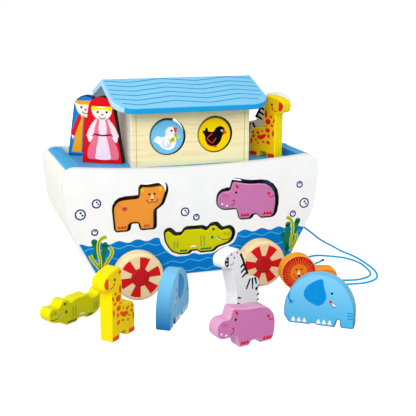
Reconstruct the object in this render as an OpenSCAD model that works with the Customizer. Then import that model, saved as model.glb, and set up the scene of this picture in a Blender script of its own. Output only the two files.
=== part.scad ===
// Wooden pull-along ark with shape holes, a lift-off roof and flat figures.
// The bow points to +X, the side with the three filled holes faces -Y, and the floor is Z = 0.

/* [Hull] */
// Length of the hull over its end boards
hull_len = 300; // [296:1:320]
// Depth of the hull over its side panels
hull_depth = 146; // [140:1:156]
// Height of a side panel at mid length
hull_h = 124; // [121:1:130]
// Rise of the top edge towards the ends
sheer_rise = 6.5; // [5:0.5:8]
// How far the bottom edge is drawn in at each end
hull_rake = 38; // [35:1:41]
// Thickness of a side panel
side_t = 10; // [9:0.5:11]
// Thickness of an end board along the hull
end_t = 22; // [20:1:23]
// Radius of the outer top corners
corner_r = 13; // [10:1:15]
// Thickness of the floor board
floor_t = 6; // [4:0.5:7]
// Thickness of the deck board
deck_t = 6; // [5:0.5:8]
// Depth of the deck below the top edge at mid length
deck_drop = 1.5; // [1:0.5:3]
// Gap between the deck and each end board
deck_gap = 2.5; // [1.5:0.5:3]
// Length of the hatch in the deck
hatch_len = 116; // [100:1:118]
// Depth of the hatch in the deck
hatch_depth = 76; // [60:1:80]
// Width and height of a deck cleat
cleat_w = 9; // [7:0.5:11]
// Diameter of the plug in an end board's crest
plug_d = 6; // [5:0.5:8]
// Depth of the plug in an end board's crest
plug_deep = 9; // [7:0.5:14]

/* [Wheels] */
// Radius of a wheel
wheel_r = 27.5; // [25:0.5:29]
// Thickness of a wheel at its rim
wheel_t = 18; // [14:0.5:20]
// Rounding of a wheel's rim
rim_r = 4; // [3:0.5:6]
// Gap between a wheel's rim and the hull
wheel_gap = 5; // [4:0.5:7]
// Radius of the raised boss on a wheel's inner side
boss_r = 9; // [7:0.5:11]
// Distance between the two axles
wheel_base = 146; // [142:1:150]
// Height of an axle above the bottom edge of the hull
axle_up = 10; // [9:0.5:11]
// Diameter of an axle
axle_d = 8; // [7:0.5:9]
// Radial clearance of an axle in the hull
axle_play = 0.08; // [0.05:0.01:0.1]
// Radius of a hub cap
hub_r = 9.2; // [8:0.2:10]
// Thickness of a hub cap
hub_t = 1.6; // [1.2:0.1:2.5]

/* [Cabin] */
// Length of the cabin's long walls
cabin_len = 140; // [138:1:142]
// Depth of the cabin over its long walls
cabin_depth = 104; // [102:1:108]
// Height of a long wall at its outer face
cabin_h = 68; // [67:1:76]
// Thickness of a cabin wall
wall_t = 8; // [7:0.5:9]
// Setback of the short walls from the ends of the long walls
wall_inset = 3; // [2.5:0.5:4]
// Radius of a window
window_r = 21; // [19:0.5:22]
// Distance between the two windows of a wall
window_pitch = 56; // [52:1:60]
// Height of a window's centre above the deck
window_up = 34; // [32:1:36]

/* [Roof] */
// Length of the roof
roof_len = 182; // [176:1:184]
// Depth of the roof over its eaves
roof_depth = 137; // [132:1:144]
// Slope of each roof panel in degrees
roof_pitch = 19.5; // [18:0.5:21]
// Thickness of a roof panel
roof_t = 7; // [6:0.5:8]
// Rounding of the eave corners
eave_r = 24; // [16:1:28]
// Thickness of a gable board
gable_t = 6; // [4:0.5:6]
// Height of the batten under the ridge
batten_h = 6; // [4:0.5:8]
// Gap between the roof's gable boards and the cabin
roof_play = 0.3; // [0.2:0.05:0.5]

/* [Figures] */
// Thickness of an animal
animal_t = 15; // [13:0.5:15.5]
// Thickness of a person
person_t = 12; // [10:0.5:12]
// Height of the patriarch
patriarch_h = 72; // [66:1:72]
// Height of the wife
wife_h = 76; // [68:1:76]
// Size of the loose hippo and crocodile against those in the side panel
mate_size = 0.94; // [0.9:0.01:1]
// Gap around a figure in its hole
hole_gap = 2.8; // [1.5:0.1:2.8]
// Gap under a figure that rests in its hole
rest_gap = 0.3; // [0.2:0.05:0.4]
// Depth of a figure's face behind the side panel's face
recess = 3; // [1:0.5:4]
// Thickness of a bird disc
disc_t = 12; // [10:0.5:14]
// Gap around a bird disc in its window
disc_gap = 1.4; // [1:0.1:2]
// Depth of a bird disc's face behind the wall's face
disc_recess = 1; // [0.5:0.5:2]

/* [Cord] */
// Diameter of the pull cord
cord_d = 2.4; // [2:0.1:2.4]
// Diameter of the cord's hole in the bow board
cord_hole_d = 4.4; // [3.8:0.2:5]
// Height of the cord's hole above the floor
cord_up = 63; // [58:1:68]
// Radius of the knot behind the bow board
knot_r = 4.4; // [3.6:0.2:5]

/* [Hidden] */
$fn = 64;
glue = 0.02;
cut = 1;
hull_x = hull_len / 2;
hull_y = hull_depth / 2;
inner_y = hull_y - side_t;
board_y = inner_y - glue;
axle_x = wheel_base / 2;
axle_z = wheel_r;
axle_r = axle_d / 2;
base_z = axle_z - axle_up;
mid_z = base_z + hull_h;
deck_z = mid_z - deck_drop;
deck_x = hull_x - end_t - deck_gap;
floor_lift = 2.5;
floor_z = axle_z + axle_r + floor_lift;
cleat_gap = 0.6;
face_y = hull_y + wheel_gap + wheel_t;
boss_gap = 0.5;
cabin_x = cabin_len / 2;
cabin_y = cabin_depth / 2;
short_x = cabin_x - wall_inset;
slope = tan(roof_pitch);
wall_top = deck_z + cabin_h;
seat_gap = 0.1;
roof_under = wall_top + seat_gap + cabin_y * slope;
roof_x = roof_len / 2;
gable_y = cabin_y - wall_t - roof_play - 0.2;
gable_drop = 4;
batten_y = batten_h / slope;
short_top = wall_top - roof_play;
window_z = deck_z + window_up;
window_x = window_pitch / 2;
disc_r = window_r - disc_gap;
stand_gap = 0.05;
knot_gap = 0.2;

// Flat outlines: each vertex is [along, up, fillet radius], taken counter-clockwise
function unit(a) = a / norm(a);
function turned(p, a) = [p[0] * cos(a) - p[1] * sin(a), p[0] * sin(a) + p[1] * cos(a)];
function flat(v) = [v[0], v[1]];
function fillet(a, b, c, r, steps) =
    let (u = unit(b - a), w = unit(c - b))
    let (bend = atan2(u[0] * w[1] - u[1] * w[0], u * w))
    let (start = b - u * r * tan(abs(bend) / 2))
    let (arm = [-u[1], u[0]] * r * sign(bend))
    [for (k = [0 : steps]) start + arm + turned(-arm, bend * k / steps)];
function rounded(v, steps = 4) =
    let (m = len(v))
    [for (i = [0 : m - 1])
        each v[i][2] > 0
            ? fillet(flat(v[(i + m - 1) % m]), flat(v[i]), flat(v[(i + 1) % m]), v[i][2], steps)
            : [flat(v[i])]];
function outward(a, b) = let (u = unit(b - a)) [u[1], -u[0]];
function grown(p, d) =
    let (m = len(p))
    [for (i = [0 : m - 1])
        let (q = outward(p[(i + m - 1) % m], p[i]), r = outward(p[i], p[(i + 1) % m]))
        p[i] + (q + r) * d / (1 + q * r)];
function flipped(p) = [for (i = [len(p) - 1 : -1 : 0]) [-p[i][0], p[i][1]]];
function moved(p, x, z) = [for (q = p) q + [x, z]];
function scaled(p, k) = [for (q = p) q * k];

// The side panels and the end boards share the line of the stem
bend_up = 66;
bilge_up = 106;
bend_in = 4;
stem_slope = (hull_rake - bend_in) / bend_up;
function sheer(x) = mid_z + sheer_rise * pow(x / (hull_x * 0.9), 2);
function stem(inset, toe_r) = [
    [hull_x - hull_rake - inset, base_z, toe_r],
    [hull_x - bend_in - inset, base_z + bend_up, 60],
    [hull_x - inset, base_z + bilge_up, 120]];
crest = [hull_x - 0.8, sheer(hull_x), corner_r];
crest_x = hull_x - end_t;
function stem_inner(z) = crest_x - hull_rake + (z - base_z) * stem_slope;
end_outline = rounded(concat(
    stem(0, 0),
    [crest, [crest_x, sheer(crest_x), 0]],
    [for (i = [2 : -1 : 0]) stem(end_t, 0)[i]]));
sheer_steps = 12;
panel_half = rounded(concat(
    [[0, base_z, 0]],
    stem(0, 3),
    [crest],
    [for (i = [sheer_steps : -1 : 0])
        let (x = crest_x * i / sheer_steps) [x, sheer(x), 0]]));
panel_edge = [for (p = panel_half) if (p[0] > 0) p];
panel_outline = concat(panel_edge, [[0, mid_z]], flipped(panel_edge));

// Figure outlines in millimetres, with the feet on up = 0
giraffe_left = rounded([
    [0, 0, 1.6], [12.5, 0, 1.6], [12.5, 6.5, 3], [23.5, 6.5, 3], [23.5, 0, 1.6], [36.5, 0, 1.6],
    [37.4, 14, 20], [37.4, 33, 8], [17.5, 36, 4], [17.5, 75.4, 5], [-2, 71.4, 8],
    [-11.2, 67, 6], [-10.5, 55, 5], [0.5, 53.5, 4]]);
zebra_left = rounded([
    [0, 0, 1.6], [12, 0, 1.6], [12, 6.5, 3], [24.5, 6.5, 3], [24.5, 0, 1.6], [37, 0, 1.6],
    [39.5, 15, 20], [39, 35, 9], [18.5, 40.5, 4], [3.5, 75.5, 5], [-11, 74, 8],
    [-22, 70, 6], [-20.5, 58, 6], [-8, 56, 5], [0, 26, 20]]);
hippo_left = rounded([
    [-8, 0, 2.4], [4, 0, 2.4], [7.4, 4.7, 3.2], [14, 4.7, 3.2], [17.8, 0, 2.4], [34.2, 0, 6],
    [36.6, 14, 20], [36, 41, 20], [4, 40.3, 60], [-16.8, 44.7, 2.6], [-20, 33.7, 3.6],
    [-34.5, 34, 9], [-36.5, 13, 9], [-11.5, 13, 3.4]]);
lioness_right = rounded([
    [-27, 0, 2], [-13.8, 0, 1.6], [-12, 8.5, 4.4], [-0.2, 8.5, 4.4], [1.8, 0, 1.6], [16.4, 0, 2],
    [16.4, 20.8, 3.4], [25.5, 27.5, 7], [30.2, 41, 9], [28.6, 48.7, 4], [13, 47, 20],
    [1, 48.5, 4], [0.8, 35.2, 3.4], [-14, 34.8, 30], [-29.8, 33.8, 11]]);
croc_right = rounded([
    [-20.5, 0, 2], [-11.5, 0, 2], [-7.5, 3, 3.2], [0, 3, 3.2], [4, 0, 2], [18, 0, 2], [24, 4.6, 6],
    [40.3, 9, 9], [43.2, 19, 6], [39, 24.8, 4], [28.6, 22.9, 4], [22.5, 29.8, 4],
    [16.2, 29.4, 4], [11.4, 24, 4], [5, 27.2, 5], [-14.6, 27.4, 4], [-18.6, 21.6, 4],
    [-27, 21.4, 6], [-33, 27.4, 3], [-38.2, 27.2, 3], [-37.2, 15, 14], [-30, 3.6, 10]]);
dome_steps = 20;
elephant_dome = [for (k = [0 : dome_steps])
    let (a = -8 + 198 * k / dome_steps) [31.5 + 36.5 * cos(a), 14 + 40.5 * sin(a), 0]];
elephant_right = rounded(concat(
    [[0.5, 0, 2], [21.5, 0, 1.8], [23.5, 1.6, 1.6], [28, 1.6, 1.6], [30, 0, 1.8], [48.2, 0, 1.6],
        [50.4, 8.2, 1.2], [53, 8.2, 1.2], [54, 0, 1.6], [68, 0, 2.5]],
    elephant_dome));
elephant_hole = rounded(concat([[0.5, 0, 2], [68, 0, 2.5]], elephant_dome));
mane_r = 20;
mane_up = 29;
mane_steps = 20;
lion_left = rounded(concat(
    [[-6, 0, 2], [8, 0, 2], [10, 8, 4], [26, 8, 4], [28, 0, 2], [44, 0, 2], [45, 32.5, 9]],
    [for (k = [0 : mane_steps])
        let (a = 10 + 243 * k / mane_steps) [mane_r * cos(a), mane_up + mane_r * sin(a), 0]]));
person_w = 48;
person_lean = 11;
person_head = (person_w - 2 * person_lean) * 15 / 26;
function person(h) = rounded([[0, 0, 1.6], [person_w, 0, 1.6],
    [person_w - person_lean, h, person_head], [person_lean, h, person_head]], 8);
hippo_mate = scaled(hippo_left, mate_size);
croc_mate = flipped(scaled(croc_right, mate_size));

// Where each figure stands: [x, y, z, turn about the vertical]
piece_y = -hull_y + recess;
lioness_at = [-66.3, piece_y, base_z + 56.9, 0];
hippo_a_at = [60.8, piece_y, base_z + 59.2, 0];
croc_a_at = [1.2, piece_y, base_z + 24.3, 0];
deck_stand_z = deck_z + stand_gap;
// The people turn as far as the room between stern board and cabin needs
people_gap = 10.9308;
people_room = deck_x - short_x - people_gap;
people_turn = -atan2(person_t, person_w) - acos(min(1, people_room / norm([person_w, person_t])));
wife_at = [-deck_x + 9.9, -2, deck_stand_z, people_turn];
patriarch_at = [-deck_x + 2.5, 47, deck_stand_z, people_turn];
giraffe_a_at = [deck_x - 21.2, -48.6, deck_stand_z, -60];
zebra_a_at = [deck_x - 18, -20.5, deck_stand_z, -56];
giraffe_b_at = [-128.2, -198, 0, 39.7];
zebra_b_at = [10.1, -172.6, 0, 30];
elephant_a_at = [-29.7, -131.5, 0, 56.4];
elephant_b_at = [56.5, -201.9, 0, -36];
lion_at = [97, -140, 0, -10];
hippo_b_at = [-7.6, -244.8, 0, 11.8];
croc_b_at = [-147.6, -130.4, 0, 32];
disc_z = window_z - disc_gap + rest_gap;
rear_up = base_z + 37.7;
giraffe_hole_at = [72, rear_up];
zebra_hole_at = [-94, rear_up];
elephant_hole_at = [-31.5, rear_up + 5];

// The whole set is centred over the origin
function footprint(p, t, at) = [
    for (q = p) for (y = [0, t]) turned([q[0], y], at[3]) + [at[0], at[1]]];
set_points = concat(
    footprint(croc_mate, animal_t, croc_b_at),
    footprint(hippo_mate, animal_t, hippo_b_at),
    footprint(elephant_right, animal_t, elephant_b_at),
    [for (q = panel_outline) [q[0], face_y + glue + hub_t]]);
set_x = [for (q = set_points) q[0]];
set_y = [for (q = set_points) q[1]];
set_shift = [-(min(set_x) + max(set_x)) / 2, -(min(set_y) + max(set_y)) / 2, 0];

// The pull cord's route: out of the bow, down to the floor and round in two turns
bow_shift = hull_x - 150;
cord_r = cord_d / 2;
cord_sides = 8;
knot_x = stem_inner(cord_up) - (knot_r + knot_gap) * sqrt(1 + stem_slope * stem_slope);
floor_route = [
    [225, -12], [228, -26], [229, -44], [228, -64], [226, -82], [220, -101], [211, -114],
    [199, -121], [188, -123], [177, -122], [166, -120], [154, -114], [145, -104], [140, -90],
    [139, -74], [142, -56], [149, -38], [160, -22], [172, -13], [185, -11], [198, -18], [212, -29],
    [219, -42], [222, -58], [220, -76], [215, -94], [208, -103], [196, -109], [184, -110],
    [169, -106], [158, -98], [153, -84], [153, -66], [159, -50], [168, -40], [176, -35], [184, -30]];
cord_route = concat(
    [[knot_x, 0, cord_up], [bow_shift + 125, 0, cord_up], [bow_shift + 139, 0, cord_up]],
    [for (q = [[148, 0, 57], [156, 0, 49], [164, 0, 42], [173, 0, 35], [182, 0, 28], [192, 1, 20],
            [201, 2, 14], [209, 3, 9.5], [216, 1, 5.5], [221, -4, 2.6]]) q + [bow_shift, 0, 0]],
    [for (q = floor_route) [q[0] + bow_shift, q[1], cord_r]]);
function cord_ring(i) =
    let (m = len(cord_route))
    let (along = unit(cord_route[min(i + 1, m - 1)] - cord_route[max(i - 1, 0)]))
    let (side = unit(cross(along, [0, 0, 1])), up = cross(side, along))
    [for (k = [0 : cord_sides - 1])
        let (a = 360 * (k + 0.5) / cord_sides)
        cord_route[i] + cord_r * (side * cos(a) + up * sin(a))];

// Shared shapes
module set() {
    translate(set_shift) children();
}
module upright(p, y0, y1) {
    translate([0, y1, 0]) rotate([90, 0, 0]) linear_extrude(y1 - y0) polygon(p);
}
module along_x(p, x0, x1) {
    translate([x0, 0, 0]) rotate([90, 0, 90]) linear_extrude(x1 - x0) polygon(p);
}
module bore_y(x, z, r, y0, y1) {
    translate([x, y1, z]) rotate([90, 0, 0]) cylinder(h = y1 - y0, r = r);
}
module stands(at, p, t) {
    set() translate([at[0], at[1], at[2]]) rotate([0, 0, at[3]]) upright(p, 0, t);
}
module axle_holes(y0, y1) {
    bore_y(axle_x, axle_z, axle_r + axle_play, y0, y1);
    bore_y(-axle_x, axle_z, axle_r + axle_play, y0, y1);
}
module figure_hole(p, at) {
    upright(moved(grown(p, hole_gap), at[0], at[2] + hole_gap - rest_gap), -hull_y - cut, -inner_y + cut);
}
module rear_hole(p, at) {
    upright(moved(grown(p, hole_gap), at[0], at[1]), inner_y - cut, hull_y + cut);
}

// Hull
module side_panel_front() color("#f4f4f2") set() difference() {
    upright(panel_outline, -hull_y, -inner_y);
    axle_holes(-hull_y - cut, -inner_y + cut);
    figure_hole(lioness_right, lioness_at);
    figure_hole(hippo_left, hippo_a_at);
    figure_hole(croc_right, croc_a_at);
}
module side_panel_rear() color("#f4f4f2") set() difference() {
    upright(panel_outline, inner_y, hull_y);
    axle_holes(inner_y - cut, hull_y + cut);
    rear_hole(giraffe_left, giraffe_hole_at);
    rear_hole(zebra_left, zebra_hole_at);
    rear_hole(elephant_hole, elephant_hole_at);
}
plug_x = hull_x - end_t / 2;
plug_top = sheer(plug_x);
module end_board() difference() {
    upright(end_outline, -board_y, board_y);
    translate([plug_x, 0, plug_top - plug_deep]) cylinder(h = plug_deep + corner_r, r = plug_d / 2 + glue);
}
module end_plug(x) color("#8fcdf2") set()
    translate([x, 0, plug_top - plug_deep + glue]) cylinder(h = plug_deep, r = plug_d / 2);
module stern_board() color("#f2f0e8") set() mirror([1, 0, 0]) end_board();
module bow_board() color("#f4f4f2") set() difference() {
    end_board();
    translate([crest_x - hull_rake, 0, cord_up]) rotate([0, 90, 0])
        cylinder(h = hull_rake + end_t, d = cord_hole_d);
}
module stern_plug() end_plug(-plug_x);
module bow_plug() end_plug(plug_x);
floor_low = stem_inner(floor_z) - glue;
floor_high = stem_inner(floor_z + floor_t) - glue;
module floor_board() color("#e8d8ae") set() upright(
    [[-floor_low, floor_z], [floor_low, floor_z],
        [floor_high, floor_z + floor_t], [-floor_high, floor_z + floor_t]],
    -board_y, board_y);
module deck_board() color("#a9c4e6") set() difference() {
    translate([-deck_x, -board_y, deck_z - deck_t]) cube([2 * deck_x, 2 * board_y, deck_t]);
    translate([-hatch_len / 2, -hatch_depth / 2, deck_z - deck_t - cut])
        cube([hatch_len, hatch_depth, deck_t + 2 * cut]);
}
module deck_cleat() translate([crest_x - cleat_gap - cleat_w, -board_y, deck_z - deck_t - cleat_w - glue])
    cube([cleat_w, 2 * board_y, cleat_w]);
module deck_cleat_bow() color("#e8d8ae") set() deck_cleat();
module deck_cleat_stern() color("#e8d8ae") set() mirror([1, 0, 0]) deck_cleat();

// Cabin
function wall_section(y0, y1) = [
    [y0, deck_z + glue], [y1, deck_z + glue],
    [y1, wall_top + (cabin_y - y1) * slope], [y0, wall_top + (cabin_y - y0) * slope]];
module long_wall() difference() {
    along_x(wall_section(cabin_y - wall_t, cabin_y), -cabin_x, cabin_x);
    bore_y(window_x, window_z, window_r, cabin_y - wall_t - cut, cabin_y + cut);
    bore_y(-window_x, window_z, window_r, cabin_y - wall_t - cut, cabin_y + cut);
}
module cabin_wall_front() color("#efe3b5") set() mirror([0, 1, 0]) long_wall();
module cabin_wall_rear() color("#efe3b5") set() long_wall();
short_y = cabin_y - wall_t - glue;
module short_wall(x) color("#efe3b5") set() translate([x, -short_y, deck_z + glue])
    cube([wall_t, 2 * short_y, short_top - deck_z - glue]);
module cabin_wall_stern() short_wall(-short_x);
module cabin_wall_bow() short_wall(short_x - wall_t);

// Roof
eave_y = roof_depth / 2;
roof_run = eave_y / cos(roof_pitch);
ridge_lap = 2 * roof_t;
roof_outline = rounded([
    [-roof_x, -roof_run, eave_r], [roof_x, -roof_run, eave_r],
    [roof_x, ridge_lap, 0], [-roof_x, ridge_lap, 0]], 8);
module roof_half() intersection() {
    translate([0, 0, roof_under]) rotate([roof_pitch, 0, 0]) linear_extrude(roof_t) polygon(roof_outline);
    translate([-roof_x - cut, -2 * eave_y - glue, deck_z])
        cube([roof_len + 2 * cut, 2 * eave_y, 2 * cabin_h]);
}
module roof_panel_front() color("#8fd0f4") set() roof_half();
module roof_panel_rear() color("#8fd0f4") set() mirror([0, 1, 0]) roof_half();
gable_low = short_top - gable_drop;
function roof_line(y) = roof_under - y * slope - glue;
module gable(x) color("#cfe6f4") set() along_x(
    [[-gable_y, gable_low], [gable_y, gable_low], [gable_y, roof_line(gable_y)],
        [0, roof_line(0)], [-gable_y, roof_line(gable_y)]],
    x, x + gable_t);
module gable_stern() gable(-short_x - roof_play - gable_t);
module gable_bow() gable(short_x + roof_play);
module ridge_batten() color("#e8d8ae") set() along_x(
    [[-batten_y, roof_line(batten_y)], [batten_y, roof_line(batten_y)], [0, roof_line(0)]],
    -short_x - roof_play + glue, short_x + roof_play - glue);

// Wheels: profiles of [radius, distance out from the hull's middle]
wheel_profile = rounded([
    [axle_r + glue, hull_y + boss_gap, 0], [boss_r, hull_y + boss_gap, 0], [boss_r, hull_y + wheel_gap, 0],
    [wheel_r, hull_y + wheel_gap, rim_r], [wheel_r, face_y, rim_r], [axle_r + glue, face_y, 0]]);
hub_edge = hub_t / 2;
hub_profile = [
    [0, face_y + glue], [hub_r, face_y + glue], [hub_r, face_y + glue + hub_t - hub_edge],
    [hub_r - hub_edge, face_y + glue + hub_t], [0, face_y + glue + hub_t]];
module spun(x, side, p) set() translate([x, 0, axle_z]) rotate([-90 * side, 0, 0])
    rotate_extrude() polygon(p);
module axle(x) color("#e8d8ae") set() bore_y(x, axle_z, axle_r, -face_y, face_y);
module wheel(x, side) color("#ecd3a0") spun(x, side, wheel_profile);
module hub(x, side) color("#b01a20") spun(x, side, hub_profile);
module axle_stern() axle(-axle_x);
module wheel_stern_front() wheel(-axle_x, -1);
module wheel_stern_rear() wheel(-axle_x, 1);
module hub_stern_front() hub(-axle_x, -1);
module hub_stern_rear() hub(-axle_x, 1);
module axle_bow() axle(axle_x);
module wheel_bow_front() wheel(axle_x, -1);
module wheel_bow_rear() wheel(axle_x, 1);
module hub_bow_front() hub(axle_x, -1);
module hub_bow_rear() hub(axle_x, 1);

// Cord
module pull_cord() color("#1f9ad6") set() {
    m = len(cord_route);
    n = cord_sides;
    polyhedron(
        points = [for (i = [0 : m - 1]) each cord_ring(i)],
        faces = concat(
            [[for (k = [0 : n - 1]) k]],
            [for (i = [0 : m - 2]) for (k = [0 : n - 1])
                [i * n + k, (i + 1) * n + k, (i + 1) * n + (k + 1) % n, i * n + (k + 1) % n]],
            [[for (k = [n - 1 : -1 : 0]) (m - 1) * n + k]]));
}
module cord_knot() color("#1f9ad6") set() translate([knot_x, 0, cord_up]) sphere(knot_r);

// Figures
disc_edge = 1.2;
disc_profile = [
    [0, 0], [disc_r - disc_edge, 0], [disc_r, disc_edge], [disc_r, disc_t - disc_edge],
    [disc_r - disc_edge, disc_t], [0, disc_t]];
module disc(x) set() translate([x, -cabin_y + disc_recess, disc_z]) rotate([-90, 0, 0])
    rotate_extrude() polygon(disc_profile);
module dove_disc() color("#9fd4f2") disc(-window_x);
module raven_disc() color("#f2d84a") disc(window_x);
module lioness() color("#f09a3a") stands(lioness_at, lioness_right, animal_t);
module hippo_a() color("#c878b0") stands(hippo_a_at, hippo_left, animal_t);
module croc_a() color("#d2d800") stands(croc_a_at, croc_right, animal_t);
module patriarch() color("#0a7fd6") stands(patriarch_at, person(patriarch_h), person_t);
module wife() color("#ee0a12") stands(wife_at, person(wife_h), person_t);
module giraffe_a() color("#ffe600") stands(giraffe_a_at, flipped(giraffe_left), animal_t);
module zebra_a() color("#f8f8f8") stands(zebra_a_at, flipped(zebra_left), animal_t);
module giraffe_b() color("#ffe600") stands(giraffe_b_at, giraffe_left, animal_t);
module zebra_b() color("#f8f8f8") stands(zebra_b_at, zebra_left, animal_t);
module elephant_a() color("#74c6f0") stands(elephant_a_at, flipped(elephant_right), animal_t);
module elephant_b() color("#74c6f0") stands(elephant_b_at, elephant_right, animal_t);
module lion() color("#f59a20") stands(lion_at, lion_left, animal_t);
module hippo_b() color("#c878b0") stands(hippo_b_at, hippo_mate, animal_t);
module croc_b() color("#d2d800") stands(croc_b_at, croc_mate, animal_t);

side_panel_front();
side_panel_rear();
stern_board();
bow_board();
stern_plug();
bow_plug();
floor_board();
deck_board();
deck_cleat_stern();
deck_cleat_bow();
cabin_wall_front();
cabin_wall_rear();
cabin_wall_stern();
cabin_wall_bow();
roof_panel_front();
roof_panel_rear();
gable_stern();
gable_bow();
ridge_batten();
axle_stern();
wheel_stern_front();
wheel_stern_rear();
hub_stern_front();
hub_stern_rear();
axle_bow();
wheel_bow_front();
wheel_bow_rear();
hub_bow_front();
hub_bow_rear();
pull_cord();
cord_knot();
dove_disc();
raven_disc();
lioness();
hippo_a();
croc_a();
patriarch();
wife();
giraffe_a();
zebra_a();
giraffe_b();
zebra_b();
elephant_a();
elephant_b();
lion();
hippo_b();
croc_b();
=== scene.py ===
import math

import bmesh
import bpy
from bpy.props import FloatProperty, FloatVectorProperty, IntProperty, PointerProperty
from mathutils import Matrix, Vector


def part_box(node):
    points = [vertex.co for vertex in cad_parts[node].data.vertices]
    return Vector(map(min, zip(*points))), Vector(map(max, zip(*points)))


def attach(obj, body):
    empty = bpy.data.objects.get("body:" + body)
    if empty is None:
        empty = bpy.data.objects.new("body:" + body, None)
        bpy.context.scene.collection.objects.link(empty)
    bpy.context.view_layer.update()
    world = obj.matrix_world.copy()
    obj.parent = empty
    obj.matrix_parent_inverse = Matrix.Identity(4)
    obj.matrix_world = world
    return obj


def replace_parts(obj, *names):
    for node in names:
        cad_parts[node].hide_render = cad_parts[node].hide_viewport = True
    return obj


bl_info = {
    "name": "Wooden pull-along toy ark",
    "version": (1, 0, 0),
    "blender": (4, 5, 0),
    "location": "3D View > Sidebar > Toy ark",
    "description": "Dresses the toy ark with rounded wood, paint, prints and its pull cord",
    "category": "Object",
}

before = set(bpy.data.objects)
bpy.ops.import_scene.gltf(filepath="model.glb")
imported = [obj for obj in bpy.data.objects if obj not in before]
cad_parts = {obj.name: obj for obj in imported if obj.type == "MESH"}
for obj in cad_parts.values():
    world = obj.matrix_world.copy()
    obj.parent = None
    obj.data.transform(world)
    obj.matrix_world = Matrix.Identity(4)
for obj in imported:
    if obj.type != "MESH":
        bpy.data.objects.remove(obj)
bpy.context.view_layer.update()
MM = 0.001
DECK_LOW, DECK_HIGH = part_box("deck_board")
ARK = Vector(((DECK_LOW.x + DECK_HIGH.x) / 2, (DECK_LOW.y + DECK_HIGH.y) / 2, 0))


def linear(code):
    """The linear colour of a six-digit screen colour."""
    parts = [int(code[i : i + 2], 16) / 255 for i in (0, 2, 4)]
    return tuple(p / 12.92 if p <= 0.04045 else ((p + 0.055) / 1.055) ** 2.4 for p in parts)


def tint(label, code, use):
    """A colour that the user may change."""
    return FloatVectorProperty(
        name=label, description=use, default=linear(code), subtype="COLOR", size=3, min=0, max=1
    )


def length(label, millimetres, use):
    """A length that the user may change."""
    return FloatProperty(
        name=label, description=use, default=millimetres * MM, min=0, unit="LENGTH", precision=5
    )


class ArkSizes(bpy.types.PropertyGroup):
    """Roundings and layers that the dressing adds to the solids."""

    figure_round: length("Figure edges", 1.2, "Rounding of the figures' edges")
    board_round: length("Board edges", 1.2, "Rounding of the hull's boards")
    roof_round: length("Roof edges", 1.2, "Rounding of the roof panels' edges")
    wall_round: length("Wall edges", 0.8, "Rounding of the cabin walls and gable boards")
    ink_layer: length("Ink layer", 0.05, "Thickness of one printed layer")
    ink_sink: length("Ink bite", 0.04, "How far a print reaches into the wood")
    cord_width: length("Cord", 2.4, "Diameter of the pull cord")
    round_steps: IntProperty(
        name="Round steps", description="Faces across a rounded edge", default=3, min=1, max=6
    )


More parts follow.
